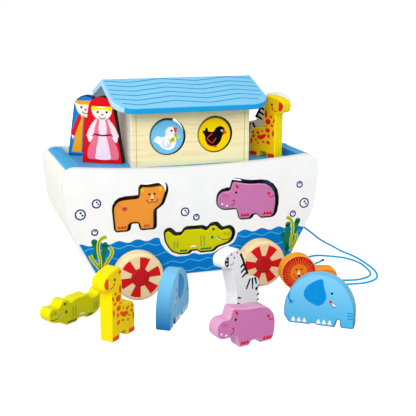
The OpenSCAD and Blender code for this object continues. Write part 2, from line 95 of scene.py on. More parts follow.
class ArkPaints(bpy.types.PropertyGroup):
    """Paints and woods of the ark and its figures."""

    hull_white: tint("Hull white", "f4f5f5", "Side panels")
    # Burnt edge: near black, partly the burn of the sawn edges and partly painted shade inside the
    # holes and windows
    burnt_edge: tint("Burnt edge", "0c0807", "Sawn edges of the holes and windows")
    trim_blue: tint("Trim blue", "38b0f4", "Crests of the end boards")
    # Crest deep blue: the crest blue darkened as painted shade on the end boards' inner sides
    crest_deep: tint("Crest deep blue", "2a8cd6", "Inner sides of the end boards")
    deck_blue: tint("Deck blue", "48aaec", "Deck board")
    # Hold wood: the floor of the hold darkened as painted shade
    hold_wood: tint("Hold wood", "4a3a2c", "Stained floor of the hold")
    bare_wood: tint("Bare wood", "e8d8ae", "Unpainted inner pieces")
    cabin_wood: tint("Cabin wood", "f8eabc", "Cabin walls")
    # Cabin end wood: the cabin wood made paler as painted light
    end_wood: tint("Cabin end wood", "fff5da", "Cabin end walls and the ends of its long walls")
    end_white: tint("End white", "fdfbf0", "Stern and bow boards")
    wheel_wood: tint("Wheel wood", "fbe0b4", "Wheels")
    roof_blue: tint("Roof blue", "82cbf0", "Roof panels")
    # Rake blue: the roof blue lightened as painted highlight on the sloping edges
    rake_blue: tint("Rake blue", "b8e0f6", "Sloping edges of the roof panels")
    eave_blue: tint("Eave blue", "1ea6e6", "Edges of the roof panels")
    # Gable blue: the roof's light blue greyed as painted shade under the roof
    gable_blue: tint("Gable blue", "a9bcd8", "Gable boards")
    hub_red: tint("Hub red", "c41a24", "Hub caps")
    cord_blue: tint("Cord blue", "08b2f0", "Pull cord")
    tip_navy: tint("Tip navy", "16265e", "Tip of the pull cord")
    dove_blue: tint("Dove blue", "74c0ec", "Dove disc")
    raven_yellow: tint("Raven yellow", "f6d000", "Raven disc")
    lioness_orange: tint("Lioness orange", "ee9636", "Lioness")
    # Lioness rust: the inset lioness's edges darkened as painted shade of its hole
    lioness_rust: tint("Lioness rust", "7a2410", "Edges of the lioness")
    lion_gold: tint("Lion gold", "f7a624", "Edges of the lion")
    lion_orange: tint("Lion orange", "f07c10", "Printed sides of the lion")
    hippo_mauve: tint("Hippo mauve", "c877ae", "Printed sides of the hippos")
    # Hippo plum: the inset hippo's edges darkened as painted shade of its hole
    hippo_plum: tint("Hippo plum", "6a2668", "Edges of the hippo in the side panel")
    hippo_pink: tint("Hippo pink", "dca2c8", "Edges of the hippos")
    croc_green: tint("Crocodile green", "d0ce06", "Printed sides of the crocodiles")
    # Crocodile moss: the inset crocodile's edges darkened as painted shade of its hole
    croc_moss: tint("Crocodile moss", "34380a", "Edges of the crocodile in the side panel")
    croc_yellow: tint("Crocodile yellow", "e6e200", "Edges of the crocodiles")
    giraffe_gold: tint("Giraffe gold", "fad600", "Printed sides of the floor's giraffe")
    # Giraffe amber: the giraffe gold darkened as painted shade for the giraffe on the deck
    giraffe_amber: tint("Giraffe amber", "ecbc08", "Printed sides of the deck's giraffe")
    giraffe_yellow: tint("Giraffe yellow", "fde000", "Edges of the giraffes")
    # The elephants' sides and edges darken toward the foot as painted shade; the foot colours are
    # that shade
    elephant_blue: tint("Elephant blue", "7ccaf0", "Printed sides of the elephants")
    elephant_blue_foot: tint("Elephant foot blue", "4cb2e2", "Foot of their printed sides")
    elephant_edge: tint("Elephant edge blue", "74c4ee", "Edges of the elephants")
    elephant_edge_foot: tint("Elephant edge foot", "0068a8", "Foot of their edges")
    zebra_white: tint("Zebra white", "f8f8f8", "Zebras")
    patriarch_blue: tint("Patriarch blue", "0480d0", "Printed sides of the patriarch")
    # Patriarch navy: the patriarch's edges darkened as painted shade
    patriarch_navy: tint("Patriarch navy", "0c2c66", "Edges of the patriarch")
    wife_red: tint("Wife red", "de0816", "Printed sides of the wife")
    # Wife maroon: the wife's edges darkened nearly to black as painted shade
    wife_maroon: tint("Wife maroon", "100303", "Edges of the wife")


class ArkInks(bpy.types.PropertyGroup):
    """Inks of the printed pictures."""

    black: tint("Black", "030304", "Eyes, stripes and belt")
    white: tint("White", "f4f4f2", "Teeth, toes, hands and the dove")
    umber: tint("Umber", "40221a", "Mouths")
    red: tint("Red", "dc1a1e", "Cheeks, spokes and sleeves")
    crimson: tint("Crimson", "c81023", "Mane")
    brick: tint("Brick red", "cc4a38", "Lioness's tail and toes")
    orange: tint("Orange", "e8561c", "Spots of the giraffes")
    ray: tint("Ray", "e8721c", "Rays of the mane")
    flame: tint("Flame", "ea4020", "Raven's beak and wing")
    rose: tint("Rose", "d0405f", "Nostrils of the hippos")
    pink: tint("Pink", "ee6f89", "Dress")
    mauve: tint("Mauve", "cc6cae", "Zebras' ears")
    blush: tint("Blush", "fadce6", "Sleeves and skirt front")
    skin: tint("Skin", "fdf3e4", "Faces of the people")
    hair: tint("Hair", "fbe000", "Wife's hair")
    gold: tint("Gold", "f7a81b", "Patriarch's band and robe")
    lemon: tint("Lemon", "e8cd14", "Lioness's ears")
    sky: tint("Sky", "8cc4ea", "Wing lines")
    pewter: tint("Pewter", "b8bcc2", "Raven's eye")
    wave: tint("Wave", "0096cc", "Lines of the roof")
    ear_blue: tint("Ear blue", "088ed8", "Elephants' ears and lines")
    sea: tint("Sea", "047acb", "Painted sea")
    foam: tint("Foam", "52b6e8", "Lines in the sea")
    bubble: tint("Bubble", "002674", "Bubbles")
    weed: tint("Weed", "167650", "Dark weed and crocodiles' marks")
    ribbon: tint("Ribbon", "c8d01c", "Pale weed")
    sprig: tint("Sprig", "e6e418", "Dove's sprig")
    seam: tint("Seam", "c2ab74", "Scored lines beside the cabin's corners")
    hub: tint("Hub", "c41a24", "Ring around the hub caps")
    dusk: tint("Dusk", "3f78a8", "Line on the patriarch's robe")


def sizes():
    return bpy.context.scene.ark_sizes


class Socket:
    """A shader value that takes part in Python sums."""

    def __init__(self, mixer, socket):
        self.mixer = mixer
        self.socket = socket

    def work(self, operation, *terms):
        return self.mixer.node("ShaderNodeMath", {"operation": operation}, dict(enumerate(terms)))

    def sine(self):
        return self.work("SINE", self)

    def __abs__(self):
        return self.work("ABSOLUTE", self)

    def __add__(self, other):
        return self.work("ADD", self, other)

    def __sub__(self, other):
        return self.work("SUBTRACT", self, other)

    def __rsub__(self, other):
        return self.work("SUBTRACT", other, self)

    def __mul__(self, other):
        return self.work("MULTIPLY", self, other)

    def __gt__(self, other):
        return self.work("GREATER_THAN", self, other)

    __radd__ = __add__
    __rmul__ = __mul__


FIBRE = (60.0, 900.0, 420.0)  # scales of the brush marks along x, y and z
BOARD_GRAIN = (26.0, 26.0, 330.0)
WHEEL_GRAIN = (34.0, 34.0, 420.0)
PAINT_GLINT, INK_GLINT = 0.08, 0.04
SHALLOW, DEEP = 0.0002, 0.0003  # metres of relief
# The foot colour that fades between these heights is painted shade
FOOT_SHADE_LOW, FOOT_SHADE_HIGH = 0.002, 0.052  # metres between which a figure's foot colour fades
CREST_LOW, CREST_HIGH = 0.0988, 0.1004  # metres between which an end board turns blue
CREST_LEAN = 0.317
BRAID_ALONG, BRAID_AROUND = 2400.0, 25.13


class Mixer:
    """Adds nodes to one tree."""

    def __init__(self, tree):
        self.tree = tree

    def node(self, kind, settings=None, sockets=None, out=0):
        made = self.tree.nodes.new(kind)
        for key, value in (settings or {}).items():
            setattr(made, key, value)
        for key, value in (sockets or {}).items():
            self.feed(made.inputs[key], value)
        return Socket(self, made.outputs[out])

    def feed(self, entry, value):
        if isinstance(value, Socket):
            self.tree.links.new(value.socket, entry)
        else:
            entry.default_value = value

    def mix(self, factor, first, second):
        """Two colours, by the sockets that a Mix node keeps for colours."""
        sockets = {0: factor, 6: first, 7: second}
        return self.node("ShaderNodeMix", {"data_type": "RGBA"}, sockets, 2)


class Recipe(Mixer):
    """One procedural finish while it is being mixed."""

    def __init__(self, name, glint=PAINT_GLINT):
        self.material = bpy.data.materials.new(name)
        self.material.use_nodes = True
        super().__init__(self.material.node_tree)
        self.shader = self.tree.nodes["Principled BSDF"]
        self.shader.inputs["Specular IOR Level"].default_value = glint

    def place(self):
        return self.node("ShaderNodeTexCoord", out="Object")

    def part(self, vector, axis):
        return self.node("ShaderNodeSeparateXYZ", None, {0: vector}, axis)

    def faded(self, value, low, high):
        sockets = {"Value": value, "From Min": low, "From Max": high}
        return self.node("ShaderNodeMapRange", None, sockets)

    def noise(self, place, scale, detail=3.0):
        sockets = {"Vector": place, "Scale": scale, "Detail": detail}
        return self.node("ShaderNodeTexNoise", None, sockets)

    def stretched(self, place, scale, detail):
        """Noise with its own scale along each axis."""
        drawn = self.node("ShaderNodeMapping", None, {"Vector": place, "Scale": scale})
        return self.noise(drawn, 1.0, detail)

    def brushed(self):
        """Coordinates, slow clouds and fine brush marks, which the paints share."""
        place = self.place()
        return place, self.noise(place, 38.0, 4.0), self.stretched(place, FIBRE, 2.0)

    def finish(self, colour, roughness, height, strength, depth=SHALLOW):
        sockets = {"Strength": strength, "Distance": depth, "Height": height}
        bump = self.node("ShaderNodeBump", None, sockets)
        for name, value in (("Base Color", colour), ("Roughness", roughness), ("Normal", bump)):
            self.feed(self.shader.inputs[name], value)
        return self.material


def shade(colour, amount):
    """A colour made lighter or darker, with its alpha."""
    return tuple(min(1.0, part * amount) for part in colour) + (1.0,)


def satin(cloud):
    """The uneven roughness of satin paint."""
    return (cloud - 0.5) * 0.3 + 0.4


def painted(name, colour):
    """Brushed satin paint on fine wood."""
    recipe = Recipe(name)
    place, cloud, fibre = recipe.brushed()
    speck = recipe.noise(place, 1400.0, 1.0)
    colour = recipe.mix(cloud, shade(colour, 0.94), shade(colour, 1.05))
    return recipe.finish(colour, satin(cloud), fibre * 0.7 + speck * 0.3, 0.16)


def shaded_at_foot(name, foot, crown):
    """Satin paint with painted shade that deepens toward the foot of a piece on the floor."""
    recipe = Recipe(name)
    place, cloud, fibre = recipe.brushed()
    up = recipe.part(place, "Z") + cloud * 0.004
    fade = recipe.faded(up, FOOT_SHADE_LOW, FOOT_SHADE_HIGH)
    colour = recipe.mix(fade, shade(foot, 1.0), shade(crown, 1.0))
    return recipe.finish(colour, satin(cloud), fibre, 0.14)


def printed(name, colour):
    """A flat ink with the faint mottle of screen printing."""
    recipe = Recipe(name, INK_GLINT)
    place = recipe.place()
    mottle = recipe.noise(place, 260.0, 3.0)
    cloud = recipe.noise(place, 24.0, 2.0)
    fibre = recipe.stretched(place, FIBRE, 2.0)
    colour = recipe.mix(mottle * 0.5 + cloud * 0.5, shade(colour, 0.86), shade(colour, 1.12))
    return recipe.finish(colour, (mottle - 0.5) * 0.25 + 0.42, fibre + mottle * 0.5, 0.12)


def timber(name, colour, grain):
    """Clear-varnished wood; grain holds the scales of its fibre along x, y and z."""
    recipe = Recipe(name)
    place = recipe.place()
    drift = recipe.stretched(place, tuple(g * 0.22 for g in grain), 4.0)
    fibre = recipe.stretched(place, grain, 5.0)
    pores = recipe.stretched(place, tuple(g * 4.0 for g in grain), 2.0)
    pale = recipe.mix(drift, shade(colour, 0.86), shade(colour, 1.12))
    deep = tuple(part * share for part, share in zip(colour, (0.84, 0.74, 0.56)))
    colour = recipe.mix((fibre > 0.56) * 0.25 + fibre * 0.35, pale, shade(deep, 1.0))
    roughness = (drift - 0.5) * 0.3 + 0.46
    return recipe.finish(colour, roughness, fibre * 0.5 + pores * 0.5, 0.2, DEEP)


def crested(name, low, high):
    """White end board with a painted crest above a leaning line, streaked along the crest."""
    recipe = Recipe(name)
    place, cloud, fibre = recipe.brushed()
    out = abs(recipe.part(place, "X") - ARK.x)
    level = recipe.part(place, "Z") - out * CREST_LEAN + fibre * 0.0008
    fade = recipe.faded(level, CREST_LOW, CREST_HIGH)
    white = recipe.mix(cloud, shade(low, 0.95), shade(low, 1.04))
    streak = recipe.stretched(place, (700.0, 30.0, 700.0), 3.0)
    blue = recipe.mix(streak, shade(high, 0.62), shade(high, 1.3))
    return recipe.finish(recipe.mix(fade, white, blue), satin(cloud), fibre, 0.14)


def braided(name, colour):
    """Braided cord: two crossing sets of strands along the cord's own map."""
    recipe = Recipe(name)
    chart = recipe.node("ShaderNodeUVMap", {"uv_map": "Cord"})
    along = recipe.part(chart, "X") * BRAID_ALONG
    around = recipe.part(chart, "Y") * BRAID_AROUND
    strand = (along + around).sine() * (along - around).sine() * 0.5 + 0.5
    fuzz = recipe.noise(recipe.place(), 900.0, 3.0)
    colour = recipe.mix(strand * 0.7 + fuzz * 0.3, shade(colour, 0.84), shade(colour, 1.15))
    return recipe.finish(colour, fuzz * 0.2 + 0.62, strand + fuzz * 0.3, 0.6, DEEP)


def paint(name):
    """The finish for one of the paints and woods, made on first use."""
    label = "paint_" + name
    made = bpy.data.materials.get(label)
    if made:
        return made
    paints = bpy.context.scene.ark_paints
    if name == "crest_paint":
        return crested(label, tuple(paints.end_white), tuple(paints.trim_blue))
    colour = tuple(getattr(paints, name))
    if name.endswith("_wood"):
        return timber(label, colour, WHEEL_GRAIN if name == "wheel_wood" else BOARD_GRAIN)
    # Elephants take painted shade that deepens toward their foot
    if name.startswith("elephant_"):
        return shaded_at_foot(label, tuple(getattr(paints, name + "_foot")), colour)
    return (braided if name == "cord_blue" else painted)(label, colour)


def ink(name):
    """The finish for one of the inks, made on first use."""
    return bpy.data.materials.get("ink_" + name) or printed(
        "ink_" + name, tuple(getattr(bpy.context.scene.ark_inks, name))
    )


def stand(x, y, z, turn=0.0):
    """Takes a figure's millimetres, with its printed side at y = 0, to its place in metres."""
    return (
        Matrix.Translation(ARK + Vector((x, y, z)) * MM)
        @ Matrix.Rotation(math.radians(turn), 4, "Z")
        @ Matrix.Scale(MM, 4)
    )


UPRIGHT = Matrix.Rotation(math.radians(90), 4, "X")
MERGE = 1e-6
FACE_ON, EDGE_ON = 0.99, 0.6  # how far a face is turned to the front, as a cosine
FLAT_ANGLE, HARD_ANGLE, SHADE_ANGLE = (math.radians(a) for a in (0.5, 40.0, 38.0))


def put(name, data):
    """Adds an object with the given data to the scene."""
    made = bpy.data.objects.new(name, data)
    bpy.context.collection.objects.link(made)
    return made


def piece(name, body, shape, finishes):
    """Turns a bmesh into a finished piece that rides on a body."""
    mesh = bpy.data.meshes.new(name)
    shape.to_mesh(mesh)
    shape.free()
    for finish in finishes:
        mesh.materials.append(finish)
    made = put(name, mesh)
    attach(made, body)
    return made


def dressed(node, body, finishes, soften, pick=None, keep=None):
    """A merged copy of a solid with its hard edges rounded. keep tells which of them stay crisp,
    pick tells which of the finishes a face takes."""
    shape = bmesh.new()
    shape.from_mesh(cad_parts[node].data)
    bmesh.ops.remove_doubles(shape, verts=shape.verts[:], dist=MERGE)
    bmesh.ops.dissolve_limit(
        shape, angle_limit=FLAT_ANGLE, verts=shape.verts[:], edges=shape.edges[:]
    )
    hard = [e for e in shape.edges if e.is_manifold and e.calc_face_angle() > HARD_ANGLE]
    if soften:
        bmesh.ops.bevel(
            shape, geom=[e for e in hard if not (keep and keep(e))], offset=soften,
            offset_type="OFFSET", segments=sizes().round_steps, profile=0.5, affect="EDGES",
            clamp_overlap=True, material=-1,
        )
    for f in shape.faces:
        f.smooth = True
        f.material_index = int(pick(f)) if pick else 0
    made = piece(node + "_dressed", body, shape, [paint(f) for f in finishes])
    made.data.set_sharp_from_angle(angle=SHADE_ANGLE)
    made.modifiers.new("Flat faces", "WEIGHTED_NORMAL").keep_sharp = True
    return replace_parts(made, node)


def middle_of(node):
    """The middle of a solid, and its box, in millimetres from the ark's middle."""
    low, high = ((corner - ARK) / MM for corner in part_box(node))
    return (low + high) / 2, low, high


class Cutout:
    """The holes of an upright board: everything between two corners of a box across y."""

    def __init__(self, node, side, below):
        low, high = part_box(node)
        self.low, self.high = low + Vector((side, 0, below)), high - Vector((side, 0, below))

    def holds(self, point):
        return all(self.low[k] < point[k] < self.high[k] for k in (0, 2))

    def edge(self, edge):
        return all(self.holds(v.co) for v in edge.verts)

    def wall(self, face):
        return abs(face.normal.y) < EDGE_ON and self.holds(face.calc_center_median())


def flowing(points, steps=6, closed=False):
    """Points along a smooth line through a few given ones."""
    given = [Vector(p).to_3d() for p in points]
    if closed:
        line = [given[-1]] + given + given[:2]
    else:
        line = [2 * given[0] - given[1]] + given + [2 * given[-1] - given[-2]]
    out = []
    for a, b, c, d in zip(line, line[1:], line[2:], line[3:]):
        for k in range(steps):
            t = k / steps
            out.append(
                (2 * b + (c - a) * t + (2 * a - 5 * b + 4 * c - d) * t * t
                 + (3 * b - a - 3 * c + d) * t ** 3) / 2
            )
    return out if closed else out + [given[-1]]


def only(geometry, kind):
    return [g for g in geometry if isinstance(g, kind)]


def tube(path, radius, sides=12):
    """A round tube along a path, with its own map of length and turn; also gives its length."""
    shape = bmesh.new()
    chart = shape.loops.layers.uv.new("Cord")
    turn = shape.verts.layers.int.new("turn")
    ring = bmesh.ops.create_circle(shape, segments=sides, radius=radius)["verts"]
    for k, v in enumerate(ring):
        v[turn] = k
    along = (path[1] - path[0]).normalized()
    first = Vector((0, 0, 1)).rotation_difference(along).to_matrix().to_4x4()
    bmesh.ops.transform(shape, matrix=Matrix.Translation(path[0]) @ first, verts=ring)
    edges = shape.edges[:]
    bmesh.ops.contextual_create(shape, geom=edges)
    went = 0.0
    for k in range(1, len(path)):
        ahead = (path[min(k + 1, len(path) - 1)] - path[k - 1]).normalized()
        grown = bmesh.ops.extrude_edge_only(shape, edges=edges)["geom"]
        ring = set(only(grown, bmesh.types.BMVert))
        edges = [e for e in only(grown, bmesh.types.BMEdge) if ring.issuperset(e.verts)]
        step = (path[k] - path[k - 1]).length
        swing = along.rotation_difference(ahead).to_matrix().to_4x4()
        place = Matrix.Translation(path[k]) @ swing @ Matrix.Translation(-path[k - 1])
        bmesh.ops.transform(shape, matrix=place, verts=list(ring))
        for f in only(grown, bmesh.types.BMFace):
            seam = {v[turn] for v in f.verts} == {0, sides - 1}
            for corner in f.loops:
                mark = sides if seam and corner.vert[turn] == 0 else corner.vert[turn]
                corner[chart].uv = (went + step * (corner.vert in ring), mark / sides)
        went += step
        along = ahead
    bmesh.ops.contextual_create(shape, geom=edges)
    bmesh.ops.recalc_face_normals(shape, faces=shape.faces[:])
    for f in shape.faces:
        f.smooth = len(f.verts) == 4
    return shape, went


ROUND, COARSE, SMALL = 28, 16, 2  # sides of a dot; a small one is coarse


class Stencil:
    """Thin layers of ink drawn flat in millimetres, then laid on one or more surfaces."""

    def __init__(self):
        self.shape = bmesh.new()
        self.inks = []

    def lift(self, faces, name, level):
        """Gives flat faces their ink and thickness."""
        if name not in self.inks:
            self.inks.append(name)
        depth = sizes().ink_sink / MM
        top = depth + level * sizes().ink_layer / MM
        low = {v for f in faces for v in f.verts}
        bmesh.ops.translate(self.shape, verts=list(low), vec=(0, 0, -depth))
        made = bmesh.ops.extrude_face_region(self.shape, geom=faces, use_keep_orig=True)["geom"]
        high = only(made, bmesh.types.BMVert)
        bmesh.ops.translate(self.shape, verts=high, vec=(0, 0, top))
        shell = {f for v in list(low) + high for f in v.link_faces}
        for f in shell:
            f.material_index = self.inks.index(name)
        bmesh.ops.recalc_face_normals(self.shape, faces=list(shell))

    def disc(self, r, place, sides):
        made = bmesh.ops.create_circle(
            self.shape, cap_ends=True, segments=sides, radius=r, matrix=place
        )["verts"]
        return list({f for v in made for f in v.link_faces})

    def dot(self, name, x, y, r, squash=1.0, turn=0.0, level=1):
        place = (
            Matrix.Translation((x, y, 0))
            @ Matrix.Rotation(math.radians(turn), 4, "Z")
            @ Matrix.Diagonal((1, squash, 1, 1))
        )
        self.lift(self.disc(r, place, ROUND if r > SMALL else COARSE), name, level)

    def ring(self, name, x, y, r, width, level=1):
        disc = self.disc(r, Matrix.Translation((x, y, 0)), ROUND)
        band = bmesh.ops.inset_region(
            self.shape, faces=disc, thickness=width, use_boundary=True, use_even_offset=True
        )["faces"]
        bmesh.ops.delete(self.shape, geom=disc, context="FACES_ONLY")
        self.lift(band, name, level)

    def patch(self, name, corners, soft=0.0, level=1):
        """A polygon with softened corners."""
        before = set(self.shape.faces)
        made = [self.shape.verts.new((x, y, 0)) for x, y in corners]
        self.shape.faces.new(made)
        if soft:
            bmesh.ops.bevel(
                self.shape, geom=made, offset=soft, offset_type="OFFSET", segments=4, profile=0.5,
                affect="VERTICES", clamp_overlap=True, material=-1,
            )
        self.lift([f for f in self.shape.faces if f not in before], name, level)

    def blob(self, name, points, level=1):
        """A smooth closed patch through a few points."""
        made = [self.shape.verts.new(p) for p in flowing(points, 5, True)]
        self.lift([self.shape.faces.new(made)], name, level)

    def line(self, name, points, width, level=1, end=1.0, steps=6):
        """A smooth ribbon; end is the share of its width that is left at its far end."""
        path = flowing(points, steps)
        made = [self.shape.verts.new(p) for p in path]
        wire = [self.shape.edges.new(pair) for pair in zip(made, made[1:])]
        side = {}
        for k, v in enumerate(made):
            along = path[min(k + 1, len(path) - 1)] - path[max(k - 1, 0)]
            reach = width / 2 * (1 + (end - 1) * k / (len(path) - 1))
            side[v] = Vector((-along.y, along.x, 0)).normalized() * reach
        grown = bmesh.ops.extrude_edge_only(self.shape, edges=wire)["geom"]
        fresh = set(only(grown, bmesh.types.BMVert))
        band = only(grown, bmesh.types.BMFace)
        for v in made:
            twin = next(e.other_vert(v) for e in v.link_edges if e.other_vert(v) in fresh)
            twin.co = v.co + side[v]
            v.co -= side[v]
        self.lift(band, name, level)

    def sheet(self, name, outline, holes=(), level=1):
        """A large patch with holes in it."""
        rim = []
        for loop in (outline, *holes):
            made = [self.shape.verts.new((x, y, 0)) for x, y in loop]
            rim += [self.shape.edges.new(pair) for pair in zip(made, made[1:] + made[:1])]
        filled = bmesh.ops.triangle_fill(self.shape, use_beauty=True, edges=rim, normal=(0, 0, 1))
        self.lift(only(filled["geom"], bmesh.types.BMFace), name, level)

    def lay(self, name, body, *places):
        """Puts the print on its surfaces as one piece."""
        whole = bmesh.new()
        laid = bpy.data.meshes.new(name + "_laid")
        for place in places:
            copy = self.shape.copy()
            bmesh.ops.transform(copy, matrix=place, verts=copy.verts[:])
            if place.determinant() < 0:
                bmesh.ops.reverse_faces(copy, faces=copy.faces[:])
            copy.to_mesh(laid)
            copy.free()
            whole.from_mesh(laid)
        bpy.data.meshes.remove(laid)
        self.shape.free()
        return piece(name, body, whole, [ink(i) for i in self.inks])


# Where each figure's printed side stands, in millimetres, and its turn in degrees
FIGURES = {
    "lioness": (-66.3, -70, 74.4, 0),
    "hippo_a": (60.8, -70, 76.7, 0),
    "croc_a": (1.2, -70, 41.8, 0),
    "wife": (-115.6, -2, 140.05, -30),
    "patriarch": (-123, 47, 140.05, -30),
    "giraffe_a": (104.3, -48.6, 140.05, -60),
    "zebra_a": (107.5, -20.5, 140.05, -56),
    "giraffe_b": (-128.2, -198, 0, 39.7),
    "zebra_b": (10.1, -172.6, 0, 30),
    "elephant_a": (-29.7, -131.5, 0, 56.4),
    "elephant_b": (56.5, -201.9, 0, -36),
    "lion": (97, -140, 0, -10),
    "hippo_b": (-7.6, -244.8, 0, 11.8),
    "croc_b": (-147.6, -130.4, 0, 32),
}
FLIPPED = {"giraffe_a", "zebra_a", "elephant_a", "croc_b"}  # figures that look the other way
MATES = {"hippo_b": 0.94, "croc_b": 0.94}  # smaller than their mates in the side panel
# Figures that sit in the side panel, and the paint of their edges, darkened as painted shade of the
# hole
INSET = {"lioness": "lioness_rust", "hippo_a": "hippo_plum", "croc_a": "croc_moss"}
ANIMAL_THICK, PERSON_THICK = 15, 12
CRISP = -0.01  # metres from the printed side, behind which an inset figure's edges stay sharp


def figure(node, edge, side, draw, thick=ANIMAL_THICK):
    """A painted figure with its picture on both flat sides. One that sits in the side panel has its
    edges darkened as painted shade of the hole, rounded at the front alone."""
    place = stand(*FIGURES[node])
    out = (place.to_3x3() @ Vector((0, -1, 0))).normalized()
    inset = node in INSET

    # Steep edges of an inset figure take the painted shade of its hole
    def pick(face):
        turned = abs(face.normal.dot(out))
        return 1 if turned > FACE_ON else 2 if inset and turned < EDGE_ON else 0

    def behind(rim):
        return inset and all((v.co - place.translation).dot(out) < CRISP for v in rim.verts)

    finishes = (edge, side, INSET.get(node, edge))
    dressed(node, node, finishes, sizes().figure_round, pick, behind)
    size = MATES.get(node, 1.0)
    drawn = UPRIGHT @ Matrix.Diagonal((-size if node in FLIPPED else size, size, 1, 1))
    over = Matrix.Translation((0, thick, 0)) @ Matrix.Scale(-1, 4, (0, 1, 0))
    stencil = Stencil()
    draw(stencil)
    stencil.lay(node + "_print", node, place @ drawn, place @ over @ drawn)


def draw_toes(s, name, start, stop, low, high, count=3):
    """A row of rounded toes."""
    step = (stop - start) / count
    for k in range(count):
        x = start + step * (k + 0.5)
        s.blob(name, [
            (x - step * 0.54, low + 0.5), (x, low), (x + step * 0.54, low + 0.5), (x, high),
        ])


def draw_doll(s, x, y):
    """A plain doll's face: two dots, a nose and a smile."""
    for side in (-5.2, 5.2):
        s.dot("black", x + side, y, 1.35, level=4)
    s.dot("red", x, y - 2.7, 1.4, 0.7, level=4)
    s.line("umber", [
        (x - 4, y - 5), (x - 2.2, y - 6.8), (x, y - 7.3), (x + 2.2, y - 6.8), (x + 4, y - 5),
    ], 0.9, 4)


def draw_lioness(s):
    s.dot("lemon", 3.5, 44.3, 2.1, 1.2)
    s.dot("lemon", 24.4, 44.4, 1.9, 1.25)
    for x in (11.6, 17.6):
        s.dot("black", x, 39.5, 1.3)
    s.patch("white", [(14.8, 39.4), (16.4, 34.2), (13.1, 34.2)], 0.4)
    s.dot("black", 14.6, 33.3, 1.5, 0.6, level=2)
    s.line("umber", [(8.8, 32.5), (9.5, 30.5), (12, 29.2), (14.6, 31.3)], 0.75)
    s.line("umber", [(14.8, 31.3), (17.5, 29.6), (20, 30.5), (20.8, 32.8)], 0.75)
    s.dot("umber", 8.7, 32.9, 0.7)
    s.dot("umber", 20.8, 33, 0.7)
    s.line("brick", [(-24.5, 31), (-22, 28), (-18, 25.4)], 0.6)
    s.dot("brick", -16.5, 24.7, 3, 0.8)
    draw_toes(s, "brick", -24.5, -14.7, 2.5, 5.8)
    draw_toes(s, "brick", 4.8, 11.6, 2.5, 5.8, 2)


def draw_hippo(s):
    s.dot("red", -11.6, 38.6, 2.9, 0.42, -59)
    s.dot("black", -12.8, 31.7, 1.4)
    for x, y in ((-27.2, 28.9), (-23.6, 27.5)):
        s.ring("rose", x, y, 1.7, 0.6)
    s.dot("white", -29.7, 19.3, 1.1)
    s.dot("white", -24, 16.8, 1.5, 0.7)
    s.line("umber", [(-18.8, 16.3), (-16, 18.3), (-14.5, 21.4)], 0.75)
    s.dot("crimson", -15.7, 22.6, 1.2)
    s.line("red", [(34.6, 25.2), (32, 22.9), (29.5, 23.6), (28.2, 27)], 1.2)
    s.dot("red", 27.4, 28, 2.3, 0.52, 8)
    draw_toes(s, "red", -6.5, 3.8, 2.6, 6.3)
    draw_toes(s, "red", 21.2, 32.3, 2.6, 6.3)


def draw_croc(s):
    s.dot("black", 19.6, 25.3, 1.5)
    s.dot("weed", 18.2, 15.8, 1.8)
    s.line("white", [(23.6, 15.4), (26.4, 13), (29.4, 11.4)], 0.9)
    s.line("umber", [(24, 16.2), (28, 12.9), (33, 11.5), (37, 11.6), (41, 13.2)], 0.75, 2)
    for x, y in ((33.8, 18.6), (38.2, 18.4)):
        s.ring("weed", x, y, 1.6, 0.5)
    for x, y, rows in ((4.8, 7.6, 4), (8.6, 7.6, 4), (-27, 8, 3), (-23.4, 8, 3)):
        for row in range(rows):
            z = y + row * (3.3 if rows == 4 else 2.8)
            s.line("weed", [
                (x + 0.9, z + 1.2), (x - 0.6, z + 0.6), (x - 0.5, z - 0.7), (x + 0.9, z - 1.2),
            ], 0.6)
    draw_toes(s, "weed", -20.5, -12, 1.9, 4.9)
    draw_toes(s, "weed", 4, 17, 1.9, 4.9, 4)
    s.blob("white", [(-8.4, 6.2), (-4.6, 6.6), (-0.8, 6.2), (-2.2, 7.8), (-4.6, 8.4), (-7, 7.8)])


def draw_giraffe(s, spot):
    s.blob(spot, [
        (-3.9, 57.2), (-3.9, 62), (-3.9, 66.6), (-7.4, 66.8), (-10.2, 62.4), (-7.4, 57.2),
    ])
    for x, y, wide, tall, turn in (
        (14, 69, 4.4, 3.8, 0), (14.2, 51.5, 3.8, 9, 0), (6.9, 48.8, 3.4, 3.4, 0),
        (2.7, 44.4, 2.5, 5.7, 12), (11, 43, 7.8, 7, 0), (5.3, 38.8, 4.4, 3, 20),
        (14.2, 37.2, 3.2, 1.8, 0), (11.2, 32.6, 7, 5.6, 8), (3.5, 29.7, 3, 7.6, 0),
        (9.8, 26, 3.8, 5, 0), (19, 31, 3.2, 2.3, 0), (25.5, 28.5, 5.6, 3, 25), (33, 28.5, 4, 3, 30),
        (32, 24, 4.6, 3.4, -20), (28.5, 20, 4, 2.2, 0), (35.2, 18, 3.2, 7.4, 0),
        (10.3, 18.2, 5.4, 4.2, 30), (17.5, 18.3, 4.6, 2.4, -15), (25.7, 16.2, 3.6, 2.3, 10),
    ):
        s.dot(spot, x, y, wide / 2, tall / wide, turn)
    s.blob(spot, [
        (13.2, 27.8), (16, 28), (20, 26.4), (25, 25.4), (27, 23.2), (24, 21.2), (20, 21), (16, 23),
        (13.8, 25.5),
    ])
    s.dot("black", 6, 63.5, 1.45)
    s.dot(spot, 5, 59.2, 1.3)
    s.line("umber", [(-1.8, 56.1), (1, 56.1), (4.2, 57.8)], 0.75)
    for low, high in ((1, 10.9), (26.9, 36.7)):
        s.patch(spot, [(low, 0.9), (high, 0.9), (high, 5.5), (low, 5.5)], 0.4)


